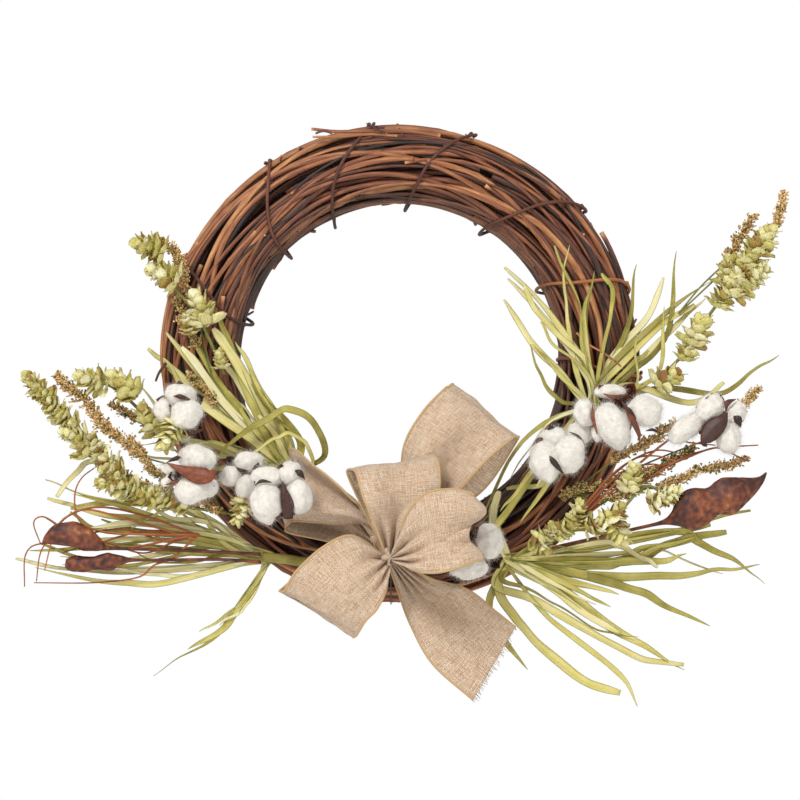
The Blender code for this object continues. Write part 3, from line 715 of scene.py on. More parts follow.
def fray(surface, place, count, seed):
    """Loose jute threads that stand out across the ribbon, at a place along its length."""
    rng = random.Random(seed)
    threads = []
    for number in range(count):
        u = (number + rng.random()) / count
        foot = surface(u, place)
        ahead = (foot - surface(u, place - 0.02)).normalized()
        stray = Vector([rng.uniform(-0.35, 0.35) for axis in range(3)])
        length = rng.uniform(0.0010, 0.0045)
        path = [foot - ahead * 0.001, foot + (ahead + stray * 0.4) * length * 0.5,
                foot + (ahead + stray) * length]
        threads.append(tube(path, [0.00022, 0.0002, 0.00016], 4, 0.5))
    return threads


def ribbon(node, stations, seed, frayed=None):
    """One loop or tail of the bow: its burlap, the merrowed edge along both its sides and, where
    it is frayed, the threads that stand out at that share of its length."""
    edge_radius = 0.00095
    frayed_threads = 70
    surface, length = ribbon_surface(stations, seed)
    mesh = grid_piece(CLOTH_ACROSS, CLOTH_ALONG, surface, (ribbon_width, length), 0.5)
    bmesh.ops.recalc_face_normals(mesh, faces=mesh.faces)
    cloth = piece(node.replace("bow", "burlap"), mesh, [burlap], [node])
    wall = cloth.modifiers.new("cloth_thickness", "SOLIDIFY")
    wall.thickness = 0.0007
    wall.offset = 0
    edges = []
    for u in (0.012, 0.988):
        line = [surface(u, step / CLOTH_ALONG) for step in range(CLOTH_ALONG + 1)]
        edges.append(tube(line, [edge_radius] * len(line), 8, 0.5))
    trim = [piece(node.replace("bow", "selvage"), gathered(edges), [edge_thread])]
    if frayed:
        threads = gathered(fray(surface, frayed, frayed_threads, seed))
        trim.append(piece(node.replace("bow", "frayed"), threads, [burlap]))


def bow():
    """Five loops and a tail. ribbon_surface says what the numbers of a station are."""
    ribbon("bow_loop_upper_right", [
        (2, 38, 2, -35, 0.10, 0), (18, 43, 34, -40, 0.50, 2), (30, 45, 66, -36, 0.84, 4),
        (47, 44, 90, -35, 0.95, 3), (64, 41, 106, -37, 0.99, 0), (68, 37, 108, -38, 1.0, -1),
        (68, 31, 104, -39, 0.99, -3), (48, 28, 66, -38, 0.84, -3), (22, 29, 34, -38, 0.45, 0),
        (2, 33, 2, -35, 0.10, 0)], 1, frayed=0.55)
    ribbon("bow_loop_top", [
        (0, 56, 3, 0, 0.10, 0), (2, 63, 27, -6, 0.46, 0), (7, 65, 43, -3, 0.86, 0),
        (5, 60, 65, 4, 0.98, 2), (1, 54, 70, 9, 1.0, 3), (-1, 49, 66, 8, 1.0, 0),
        (0, 49, 38, 4, 0.66, 0), (0, 50, 3, 0, 0.10, 0)], 2)
    ribbon("bow_loop_right", [
        (3, 72, 2, 84, 0.10, 0), (12, 79, 11, 99, 0.60, 0), (28, 82, 19, 99, 0.92, 0),
        (46, 81, 23, 95, 0.92, 0), (59, 77, 24, 88, 0.78, 5), (61, 74, 24, 86, 0.74, 5),
        (58, 70.5, 24, 86, 0.72, 3), (30, 69, 16, 92, 0.56, 0), (3, 68, 1, 90, 0.10, 0)], 0.74)
    ribbon("bow_loop_lower_left", [
        (-2, 56, 0, 110, 0.10, 0), (-15, 63, -2, 122, 0.74, 0), (-29, 67, -13, 130, 0.96, 0),
        (-43, 65, -26, 143, 1.0, 0), (-50, 60, -37, 149, 1.0, 0), (-52, 56, -40, 150, 1.0, 0),
        (-53, 52, -38, 149, 1.0, 0), (-29, 49.5, -14, 136, 0.74, 0),
        (-2, 49, 0, 110, 0.10, 0)], 4)
    ribbon("bow_loop_left", [
        (-2, 38, 1, 95, 0.10, 0), (-22, 40, 34, 120, 0.42, 0), (-44, 34, 43, 92, 0.58, 0),
        (-61, 25, 50, 88, 0.76, 0), (-71.5, 20, 53, 80, 0.84, 0), (-74, 15, 52, 79, 0.88, 0),
        (-71.5, 10, 46, 80, 0.90, 0), (-40, 18, 27, 75, 0.52, 0), (-2, 33, 1, 95, 0.10, 0)], 5)
    ribbon("bow_tail", [
        (1, 30, -2, -150, 0.10, 0), (18, 25, -20, -162, 0.44, 0), (36, 27, -37, -149, 0.80, 0),
        (54, 28, -59, -140, 0.97, 2), (76, 26, -78, -120, 1.0, 0)], 6, 1.0)


def bow_waist():
    """The pinched heart of the bow: a short pleated knob of burlap that widens from its foot."""
    low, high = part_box("bow_gather")
    middle = (low + high) / 2
    reach = high.y - low.y
    steps = 36

    def surface(u, v):
        turn = tau * u
        end = min(1.0, sqrt(max(0.0, v) / 0.16)) * (1 - 0.3 * v ** 6)
        pleat = 1 + 0.30 * sin(6 * turn + 2.5 * v + 0.8 * sin(turn))
        radius = ((high.x - low.x) / 2 + 0.0004) * end * pleat + 0.0002
        return Vector((middle.x + radius * cos(turn), low.y + reach * (0.17 + 0.815 * v),
                       middle.z + radius * sin(turn)))
    mesh = grid_piece(70, steps, surface, (0.06, reach), 0.5)
    close_seams(mesh)
    piece("burlap_gather", mesh, [burlap], ["bow_gather"])


def binding_wire():
    """Thin dark wire drawn into the waist's pleats and led round the back of the ring."""
    wire_radius = 0.0005
    clear = 0.0006          # from the middle of the wire to the outside of its node
    low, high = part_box("bow_gather")
    wire_low, wire_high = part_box("bow_wire")
    middle = (low + high) / 2
    beside = (high.z - low.z) / 2 + 0.0004
    route = [Vector((middle.x, low.y + 0.013, middle.z)),
             Vector((middle.x, low.y + 0.016, middle.z + beside)),
             Vector((middle.x, high.y, middle.z + beside))]
    deep = wire_high.y - clear
    wide = spray_base.z - wire_low.z - clear
    for step in range(9):
        turn = radians(125 - 250 * step / 8)
        route.append(Vector((middle.x, deep * cos(turn), spray_base.z + wide * sin(turn))))
    route += [Vector((middle.x, high.y, middle.z - beside)),
              Vector((middle.x, low.y + 0.016, middle.z - beside)), route[0].copy()]
    path = smooth_path(route, 6)
    mesh = tube(path[:-1], [wire_radius] * (len(path) - 1), 6, 0.1)
    piece("binding_wire", mesh, [wire_paint], ["bow_wire"])


# ---- Cotton bolls ----------------------------------------------------------------------
def lock_mesh(centre, wide, long, turn, seed):
    """One lock of cotton: a soft lobe of the given half sizes, turned in the wreath's plane."""
    mesh = new_mesh()
    bmesh.ops.create_icosphere(mesh, subdivisions=4, radius=1.0, calc_uvs=True)
    turned = Matrix.Rotation(radians(-turn), 3, "Y")
    deep = 0.95 * min(wide, long)
    shift = Vector((seed * 3.1, seed * 1.7, seed * 0.9))
    for vert in mesh.verts:
        way = vert.co.normalized()
        lumps = 0.16 * noise.noise(way * 1.5 + shift) + 0.05 * noise.noise(way * 4.0 + shift)
        lumps += 0.016 * noise.noise(way * 11.0 + shift)
        shape = Vector((way.x * long, way.y * deep, way.z * wide))
        vert.co = centre + turned @ (shape * (1 + lumps))
    return mesh


def fuzz_template():
    """One curved fibre, 1 long before it is scaled."""
    mesh = new_mesh()
    bmesh.ops.create_cone(mesh, segments=3, radius1=0.035, radius2=0.010, depth=1.0,
                          cap_ends=True, calc_uvs=True)
    bmesh.ops.translate(mesh, vec=(0, 0, 0.5), verts=mesh.verts)
    upright = [edge for edge in mesh.edges
               if abs(edge.verts[0].co.z - edge.verts[1].co.z) > 0.5]
    bmesh.ops.subdivide_edges(mesh, edges=upright, cuts=1)
    for vert in mesh.verts:
        vert.co.x += 0.35 * vert.co.z ** 2
    return mesh


def aligned(place, way, spin, scale):
    """A matrix that stands a template up along a direction."""
    turn = way.to_track_quat("Z", "Y").to_matrix().to_4x4()
    return (Matrix.Translation(place) @ turn @ Matrix.Rotation(spin, 4, "Z")
            @ Matrix.Diagonal((*scale, 1.0)))


def valve_mesh(route, widths, outward, tone):
    """One pointed valve of the burr: a cupped woody leaf that follows its route, cupped away
    from the outward direction."""
    path = smooth_path(route, 5)
    spans = smooth_path([Vector((width, 0, 0)) for width in widths], 5)
    last = len(path) - 1

    def surface(u, v):
        index = min(int(round(v * last)), last)
        ahead = (path[min(index + 1, last)] - path[max(index - 1, 0)]).normalized()
        side = ahead.cross(outward).normalized()
        lift = side.cross(ahead)
        across = 2 * u - 1
        half = max(0.0002, spans[index].x / 2)
        cup = -0.42 * half * across ** 2 + 0.10 * half * max(0, 1 - 4 * abs(across))
        rough = 0.06 * half * noise.noise(path[index] * 700 + Vector((across * 2, 0, 0)))
        return path[index] + side * (across * half) + lift * (cup + rough)
    mesh = grid_piece(8, last, surface, (1.0, 0.04), tone)
    bmesh.ops.remove_doubles(mesh, verts=mesh.verts, dist=1e-6)
    bmesh.ops.solidify(mesh, geom=mesh.faces[:] + mesh.edges[:] + mesh.verts[:],
                       thickness=0.0009)
    bmesh.ops.recalc_face_normals(mesh, faces=mesh.faces)
    return mesh


def boll(label, seed, locks, valves):
    """One boll. Each lock: X, Z, its half width and half length, the way its length points in
    degrees, and how far it stands forward. Each valve: how far forward, its tone, and the
    places (X, Z, width) that it runs through. All in mm."""
    hairiness = 10          # fibres for each square mm of a lock's two half sizes multiplied
    tuck = 3.5              # how far a valve's two ends dip into the cotton, in mm
    low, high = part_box("cotton_" + label)
    centre = (low + high) / 2
    middle = -centre.y / MM - ring_front / MM
    rng = random.Random(seed)
    meshes = []
    fibres = []
    for number, (x, z, wide, long, turn, ahead) in enumerate(locks):
        place = at(x, middle + ahead, z)
        lock = lock_mesh(place, wide * MM, long * MM, turn, seed + number * 0.37)
        for vert in rng.choices(list(lock.verts), k=int(hairiness * wide * long)):
            way = (vert.co - place).normalized()
            lean = Vector([rng.uniform(-0.9, 0.9) for axis in range(3)])
            fibres.append(aligned(
                vert.co - way * 0.0004, (way + lean * 0.8).normalized(), rng.uniform(0, tau),
                (0.0016, 0.0012, rng.uniform(0.0016, 0.0050))))
        meshes.append(lock)
    meshes.append(scattered(fuzz_template(), fibres, np.full(len(fibres), 0.5)))
    piece("fluff_" + label, gathered(meshes), [cotton_fluff], ["cotton_" + label])

    husk = []
    for ahead, tone, route in valves:
        last = len(route) - 1
        places = [at(x, middle + ahead - (tuck if index in (0, last) else 0), z)
                  for index, (x, z, width) in enumerate(route)]
        husk.append(valve_mesh(places, [width * MM for x, z, width in route],
                               Vector((0, -1, 0)), tone))
    # Behind the cotton, five more valves open out of the stalk like the bowl of a cup.
    size = (high.x - low.x) / 2
    root = centre + Vector((0, size * 0.82, 0))
    for number in range(5):
        turn = tau * (number + 0.3 * seed) / 5
        out = Vector((cos(turn), 0, sin(turn)))
        husk.append(valve_mesh(
            [root, centre + out * size * 0.60 + Vector((0, size * 0.50, 0)),
             centre + out * size * 0.86 + Vector((0, size * 0.12, 0)),
             centre + out * size * 0.98 - Vector((0, size * 0.22, 0))],
            [0.004, size * 0.55, size * 0.45, 0.0004], out, rng.uniform(0.15, 0.5)))
    cup_low, cup_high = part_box("burr_" + label)
    end = (cup_low + cup_high) / 2
    end.y = cup_high.y
    stalk = smooth_path([root - Vector((0, 0.003, 0)), root.lerp(end, 0.4), end], 4)
    husk.append(tube(stalk, [0.0021] * len(stalk), 8, 0.3))
    piece("husk_" + label, gathered(husk), [burr_husk], ["burr_" + label])


def bolls():
    """The eight bolls. boll says what the numbers of their locks and valves are."""
    boll("left_top", 1, [
        (-156.6, 111, 11.0, 12.0, 30, 8), (-161, 124.5, 8.5, 12.0, -10, 1),
        (-173.5, 113.5, 7.5, 9.5, 100, -1), (-158, 95.5, 4.2, 5.5, 80, -3)], [
        (14, 0.15, [(-166, 124, 0.4), (-160.5, 123.6, 3.8), (-151, 120, 0.6)]),
        (7, 0.35, [(-164, 101, 0.5), (-155, 97, 5.0), (-144, 100, 0.8)]),
        (6, 0.2, [(-170, 119, 0.4), (-168, 115, 2.4), (-169, 107, 0.5)])])
    boll("left_mid", 2, [
        (-148.4, 78.5, 9.5, 13.6, -8, 2), (-152.5, 56, 10.5, 13.0, 10, 2),
        (-170.5, 70.5, 3.6, 6.0, -25, -3), (-170.5, 62, 3.6, 5.5, 30, -3),
        (-141, 57, 7.0, 8.0, 30, -1)], [
        (15, 0.62, [(-171, 75.5, 0.4), (-160, 70.5, 6.5), (-148, 66.0, 12.5),
                    (-139, 66.5, 10.0), (-134, 69.5, 1.0)]),
        (8, 0.1, [(-160, 79.5, 0.6), (-164, 78.5, 3.4), (-171, 75.5, 0.4)]),
        (6, 0.5, [(-160, 63, 0.6), (-165, 61, 3.0), (-172, 59, 0.4)])])
    boll("left_inner_back", 3, [
        (-111.3, 75.7, 7.6, 11.0, 0, 1), (-124.7, 65.3, 7.4, 8.8, 20, 0),
        (-113.5, 57.5, 8.0, 9.5, 80, 0)], [
        (10, 0.15, [(-104, 75.5, 0.4), (-106, 71.5, 3.8), (-111, 66, 0.4)]),
        (8, 0.3, [(-121, 72, 0.4), (-117, 69.5, 2.6), (-111, 69, 0.4)])])
    boll("left_inner_front", 4, [
        (-97.9, 46.5, 11.6, 15.0, 95, 4), (-74.5, 50.5, 9.6, 12.8, 100, 3),
        (-98, 64.5, 8.0, 11.5, 0, 0), (-80.5, 67.5, 8.2, 9.0, 60, 0)], [
        (12, 0.22, [(-85.5, 61.5, 0.4), (-84.5, 54, 6.0), (-82, 44, 9.5), (-82, 34, 7.0)]),
        (10, 0.08, [(-77.5, 70.0, 0.4), (-73.5, 68.0, 5.0), (-69.5, 63.0, 0.6)]),
        (12, 0.12, [(-106, 59, 0.4), (-101, 62, 2.8), (-93.5, 61, 0.4)]),
        (6, 0.3, [(-92, 34, 0.5), (-88, 36.5, 4.0), (-84, 40, 0.5)])])
    boll("right_inner", 5, [
        (107.3, 76, 12.0, 15.5, 100, 4), (123.8, 82, 12.3, 14.0, 75, 5),
        (131.3, 96.5, 9.5, 10.0, 45, -2), (113.5, 93.5, 7.5, 10.5, 0, -1)], [
        (17, 0.06, [(108.5, 81.5, 0.4), (112.5, 76, 4.4), (119.5, 67.5, 1.4)]),
        (4, 0.15, [(97, 87, 0.4), (101.5, 91.5, 3.6), (108, 93.5, 0.4)]),
        (11, 0.25, [(124, 98, 0.4), (131, 94.5, 1.8), (136, 88, 0.4)])])
    boll("right_mid", 6, [
        (155.8, 102.4, 11.8, 18.0, 115, 6), (178.8, 112.8, 11.5, 13.8, 5, 4),
        (135.5, 112, 8.0, 10.5, 100, 1), (154.3, 127.5, 5.5, 11.0, 0, 0),
        (145, 97, 4.5, 6.5, 90, 0)], [
        (15, 0.5, [(162, 121, 0.5), (168.5, 110, 4.6), (174.5, 97, 3.4), (175, 91, 0.4)]),
        (16, 0.12, [(163, 118, 0.4), (168, 113.5, 3.2), (173, 107.5, 0.4)]),
        (11, 0.62, [(141, 118, 0.4), (141.5, 108, 3.4), (144.5, 96, 0.6)]),
        (9, 0.55, [(149, 126, 0.4), (156, 123.5, 3.0), (166, 125.5, 0.4)]),
        (8, 0.05, [(180, 98.5, 0.4), (185, 99.5, 2.4), (190, 97.5, 0.4)])])
    boll("right_outer", 7, [
        (210.5, 101.0, 8.5, 15.0, 38, 1), (227, 115.5, 9.0, 11.5, 40, 2),
        (240.5, 94.5, 9.0, 13.5, 100, 1), (247, 111.5, 7.0, 8.5, 60, 0)], [
        (13, 0.22, [(240, 112, 0.5), (235.5, 106, 10.5), (228, 98.5, 14.5),
                    (223, 90, 6.5), (225, 87, 0.5)]),
        (7, 0.3, [(219, 115, 0.4), (224, 121, 2.4), (229.5, 126.5, 0.4)]),
        (8, 0.4, [(239, 113, 0.6), (240, 119, 4.6), (246.5, 122, 0.4)]),
        (8, 0.08, [(243, 110.5, 0.6), (247.5, 107, 6.5), (250, 101, 0.6)])])
    boll("right_low", 8, [
        (66, 17.5, 9.6, 12.8, 100, 4), (50.5, -1.5, 9.0, 14.5, 5, 3)], [
        (8, 0.35, [(57, 4, 0.5), (62, 1.5, 5.0), (65, -3, 0.6)]),
        (6, 0.2, [(54, 29, 0.5), (55, 24, 5.0), (57.5, 18, 0.6)])])


# ---- Grass -----------------------------------------------------------------------------
def blade_mesh(points, width, twist, tone, seed, blunt):
    """One flat blade with a keel, from its root to its tip, twisting as it goes. A blunt tip was
    cut, and any other runs out to a point."""
    tip_power, tip_loss = (14, 0.5) if blunt else (5, 0.96)
    rng = random.Random(seed)
    steps = 8
    path = smooth_path(points, steps)
    last = len(path) - 1
    for index, point in enumerate(path):
        kink = noise.noise_vector(Vector((index * 0.16, seed * 2.1, 7)))
        point += Vector((kink.x, kink.y * 0.6, kink.z)) * 0.0040 * index / last
    length = sum((b - a).length for a, b in zip(path, path[1:]))
    start_twist = rng.uniform(-0.7, 0.7)

    def surface(u, v):
        index = min(int(round(v * last)), last)
        ahead = (path[min(index + 1, last)] - path[max(index - 1, 0)]).normalized()
        side = ahead.cross(Vector((0, -1, 0))).normalized()
        front = side.cross(ahead)
        turn = start_twist + twist * v + 0.25 * sin(v * 7 + seed)
        flat = side * cos(turn) + front * sin(turn)
        keel = front * cos(turn) - side * sin(turn)
        across = 2 * u - 1
        taper = 0.9 * min(1.0, 0.5 + 2.2 * v) * (1 - v ** tip_power * tip_loss)
        half = width / 2 * taper * (1 + 0.10 * sin(v * 23 + seed) * v)
        droop = 0.0008 * noise.noise(Vector((v * 9, seed, 4)))
        return path[index] + flat * (across * half) - keel * (0.32 * half * (1 - across ** 2)
                                                              + droop)
    mesh = grid_piece(4, last, surface, (1.0, length), tone)
    bmesh.ops.remove_doubles(mesh, verts=mesh.verts, dist=1e-6)
    bmesh.ops.solidify(mesh, geom=mesh.faces[:] + mesh.edges[:] + mesh.verts[:],
                       thickness=0.0003)
    bmesh.ops.recalc_face_normals(mesh, faces=mesh.faces)
    return mesh


def tuft(node, root, blades, seed, tape=None, slim=1.0):
    """All the blades of one tuft. Each blade: the places it passes (X, Z in mm) from root to
    tip, its width in mm, and how far its tip stands forward. More than half have a shorter and
    narrower blade beside them. tape is the route of the tape that binds the tuft's root, and
    slim a share of the width."""
    rng = random.Random(seed)
    meshes = []
    extra = []
    for way, width, tip_forward in blades:
        if rng.random() < 0.4:
            continue
        shift = (rng.uniform(-9, 9), rng.uniform(-8, 8))
        grow = rng.uniform(0.55, 0.95)
        last = len(way)
        near = [(root[0] + (x - root[0]) * grow + shift[0] * (index + 1) / last,
                 root[1] + (z - root[1]) * grow + shift[1] * (index + 1) / last)
                for index, (x, z) in enumerate(way)]
        extra.append((near, width * rng.uniform(0.5, 0.8), tip_forward + rng.uniform(-4, 4)))
    for number, (way, width, tip_forward) in enumerate(blades + extra):
        spread = [(root[0] + rng.uniform(-5, 5), root[1] + rng.uniform(-4, 4))] + list(way)
        points = []
        for index, (x, z) in enumerate(spread):
            share = index / (len(spread) - 1)
            forward = root[2] + rng.uniform(-1.5, 1.5) * (1 - share) + tip_forward * share
            points.append(at(x, forward, z))
        meshes.append(blade_mesh(points, width * slim * MM, rng.uniform(-1.3, 1.3),
                                 rng.uniform(0.1, 0.95), seed + number * 1.3,
                                 rng.random() < 0.5))
    if tape:
        wrap = smooth_path([at(*point) for point in tape], 8)
        rough = [0.0036 * (1 + 0.12 * noise.noise(point * 400)) for point in wrap]
        meshes.append(tube(wrap, rough, 12, 0.05, 0.8))
    piece(node + "_blades", gathered(meshes), [grass_leaf], [node])


def grass():
    """The four tufts. tuft says what the numbers of a blade are."""
    tuft("grass_left_upper", (-80, 66, 4), [
        ([(-118, 99), (-162, 138), (-188, 161)], 8, 3), ([(-125, 112), (-171, 171)], 6, 6),
        ([(-131, 120), (-162, 161)], 7, 8), ([(-131, 131), (-159, 175)], 6, 4),
        ([(-118, 129), (-134, 153)], 5, 2), ([(-102, 100), (-126, 160), (-140, 190)], 7, 10),
        ([(-92, 100), (-122, 150), (-137, 176)], 8, 12),
        ([(-84, 96), (-108, 140), (-120, 165)], 7, 14),
        ([(-74, 92), (-98, 119), (-112, 140)], 6, 10),
        ([(-56, 80), (-64, 104), (-82, 115), (-98, 108), (-122, 92), (-137, 79)], 6, 20),
        ([(-85, 80), (-102, 110)], 5, 6), ([(-120, 84), (-160, 92), (-196, 135)], 7, 3),
        ([(-118, 78), (-154, 92), (-192, 87)], 7, 8),
        ([(-105, 80), (-170, 78), (-204, 85)], 6, 2),
        ([(-110, 92), (-150, 120), (-176, 150)], 7, 10),
        ([(-100, 90), (-140, 138), (-150, 160)], 5, 1)], 11)
    tuft("grass_left_lower", (-98, 4, 3), [
        ([(-143, 22), (-169, 40), (-226, 47), (-263, 64)], 8, 6),
        ([(-157, 29), (-214, 35), (-261, 50)], 7, 2), ([(-182, 35), (-242, 52)], 6, 8),
        ([(-157, 19), (-217, 24), (-246, 36)], 6, 4), ([(-182, 19), (-261, 16)], 6, 2),
        ([(-143, 7), (-214, 13), (-275, 10)], 7, 5),
        ([(-143, -2), (-220, -6), (-286, 4)], 7, 3),
        ([(-125, -2), (-182, -16), (-220, -13), (-270, -4)], 7, 7),
        ([(-140, 12), (-200, 4), (-252, -2)], 5, 1),
        ([(-136, 30), (-180, 52), (-220, 74), (-240, 70), (-255, 50)], 6, 10),
        ([(-150, 36), (-200, 44), (-244, 40)], 7, 3),
        ([(-111, -21), (-131, -47), (-157, -62)], 8, 5),
        ([(-108, -16), (-140, -56), (-184, -82)], 7, 2),
        ([(-130, 20), (-190, 30), (-232, 26)], 8, 9),
        ([(-128, 14), (-160, 44), (-202, 24)], 6, 6),
        ([(-150, 8), (-210, -2), (-268, 14)], 5, 4)], 23,
        [(-102, 3, 5), (-84, 5, 3), (-66, 6, 1), (-46, 8, 2)], 0.78)
    tuft("grass_right_upper", (142, 116, 4), [
        ([(139, 143), (113, 184), (78, 220)], 8, 4), ([(120, 140), (100, 161), (76, 195)], 7, 2),
        ([(136, 155), (132, 190), (115, 234)], 8, 8),
        ([(128, 152), (122, 197), (124, 236)], 6, 3),
        ([(137, 177), (145, 216)], 6, 10), ([(158, 150), (169, 177), (177, 223)], 7, 4),
        ([(155, 150), (183, 182), (195, 211)], 7, 2),
        ([(170, 140), (198, 171), (205, 231)], 8, 8),
        ([(153, 142), (198, 186), (231, 211)], 10, 10),
        ([(165, 138), (200, 172), (226, 196)], 7, 5),
        ([(190, 130), (237, 126), (260, 142), (282, 155)], 6, 2),
        ([(96, 96), (56, 32)], 7, 14), ([(112, 84), (80, 40), (66, 20)], 8, 18),
        ([(118, 74), (90, 30)], 7, 12), ([(150, 160), (158, 196), (150, 214)], 6, 12),
        ([(138, 150), (110, 178), (92, 206)], 6, 12), ([(120, 120), (108, 132), (96, 160)], 5, 8),
        ([(168, 132), (214, 120), (240, 132)], 7, 12), ([(190, 140), (196, 190)], 5, 14),
        ([(134, 90), (110, 60), (80, 56)], 6, 6)], 37, slim=0.76)
    tuft("grass_right_lower", (80, 2, 3), [
        ([(164, 1), (198, 14), (243, 24)], 7, 6),
        ([(198, 24), (221, 16), (249, 1), (269, -16)], 8, 12),
        ([(119, -5), (153, -10), (198, -9), (232, -6), (266, -1)], 8, 4),
        ([(150, 6), (192, 9), (239, -10)], 7, 2), ([(164, 1), (198, 13)], 6, 10),
        ([(180, 20), (260, 39)], 6, 2),
        ([(130, -8), (164, -16), (192, -27), (229, -46)], 7, 5),
        ([(118, -10), (161, -23)], 7, 9), ([(118, -19), (165, -53), (211, -78)], 8, 3),
        ([(71, -16), (102, -28), (133, -46), (173, -68), (210, -74)], 7, 6),
        ([(110, -40), (157, -76), (176, -105)], 5, 2),
        ([(73, -17), (84, -38), (102, -59), (134, -86), (162, -95)], 8, 4),
        ([(116, -12), (157, -31)], 7, 12), ([(140, 2), (184, 2), (214, 8)], 7, 14),
        ([(110, 6), (160, 16), (210, 26)], 6, 3), ([(66, -30), (74, -52), (96, -78)], 6, 2),
        ([(70, 30), (72, 54)], 7, 16), ([(104, 14), (130, 26), (170, 20)], 8, 12)], 53)


# ---- Hop-like cones ---------------------------------------------------------------------
def bract_template(kind):
    """One papery bract, 1 long: a rounded leaf that stands along Z and bulges towards Y,
    crumpled differently for each kind."""
    def surface(u, v):
        across = 2 * u - 1
        wide = 0.46 * sin(pi * (0.14 + 0.80 * v)) ** 0.65
        bulge = 0.20 * (1 - across ** 2) * sin(pi * min(1.0, 0.2 + 0.8 * v))
        crumple = 0.11 * noise.noise(Vector((across * 1.6, v * 3.2, kind * 4.1)))
        skew = 0.16 * noise.noise(Vector((v * 2.0, kind * 2.3, 1)))
        return Vector((across * wide + skew * v, bulge + 0.20 * v ** 3 + crumple, v))
    mesh = grid_piece(6, 6, surface, (1.0, 1.0), 0.5)
    bmesh.ops.solidify(mesh, geom=mesh.faces[:] + mesh.edges[:] + mesh.verts[:],
                       thickness=0.03)
    return mesh


def cone_places(centre, along, size, rng):
    """Where the bracts of one cone stand: overlapping like tiles from its base to its tip."""
    places = []
    along = along.normalized()
    turn = along.to_track_quat("Z", "Y").to_matrix()
    rings = 5
    for ring in range(rings):
        share = ring / (rings - 1)
        count = 6 if ring < 4 else 4
        for number in range(count):
            angle = tau * (number + 0.5 * (ring % 2)) / count + rng.uniform(-0.2, 0.2)
            out = turn @ Vector((cos(angle), sin(angle), 0))
            place = (centre + along * size * (share * 1.75 - 1.25)
                     + out * size * (0.34 - 0.22 * share))
            stray = turn @ Vector([rng.uniform(-0.28, 0.28) for axis in range(3)])
            way = (along * (0.55 + 0.5 * share) + out * rng.uniform(0.55, 1.45)
                   * (1 - 0.70 * share) + stray).normalized()
            lift = (out - way * out.dot(way)).normalized()
            side = lift.cross(way)
            basis = Matrix((side, lift, way)).transposed().to_4x4()
            grow = size * rng.uniform(0.95, 1.35) * (1 - 0.18 * share)
            places.append(Matrix.Translation(place) @ basis
                          @ Matrix.Diagonal((grow, grow, grow, 1)))
    return places


def hop_spray(node, stalk, cones, seed):
    """A stalk with cones. Each cone: X, forward and Z in mm, which way its tip points in X and
    in Z, and its size in mm."""
    kinds = 4           # differently crumpled bracts
    rng = random.Random(seed)
    places = []
    tones = []
    stems = []
    trunk = smooth_path([at(*point) for point in stalk], 5)
    for x, forward, z, aim_x, aim_z, size in cones:
        centre = at(x, forward, z)
        along = Vector((aim_x, rng.uniform(-0.4, 0.1), aim_z))
        made = cone_places(centre, along, size * MM, rng)
        places += made
        level = rng.uniform(0.38, 0.78)
        tones += [rng.uniform(0, 0.15) if rng.random() < 0.09
                  else min(1, max(0.1, rng.gauss(level, 0.20))) for copy in made]
        near = min(trunk, key=lambda point: (point - centre).length)
        stems.append(tube(smooth_path([near, (near + centre) / 2 + Vector((0, 0, -0.001)),
                                       centre], 3), [0.0008] * 7, 5, 0.5))
    stems.append(tube(trunk, [0.0012] * len(trunk), 6, 0.5))
    bracts = gathered([scattered(bract_template(kind), places[kind::kinds],
                                 np.array(tones[kind::kinds])) for kind in range(kinds)])
    piece(node + "_cones", bracts, [hop_paper], [node])
    piece(node + "_stalk", gathered(stems), [green_stem])


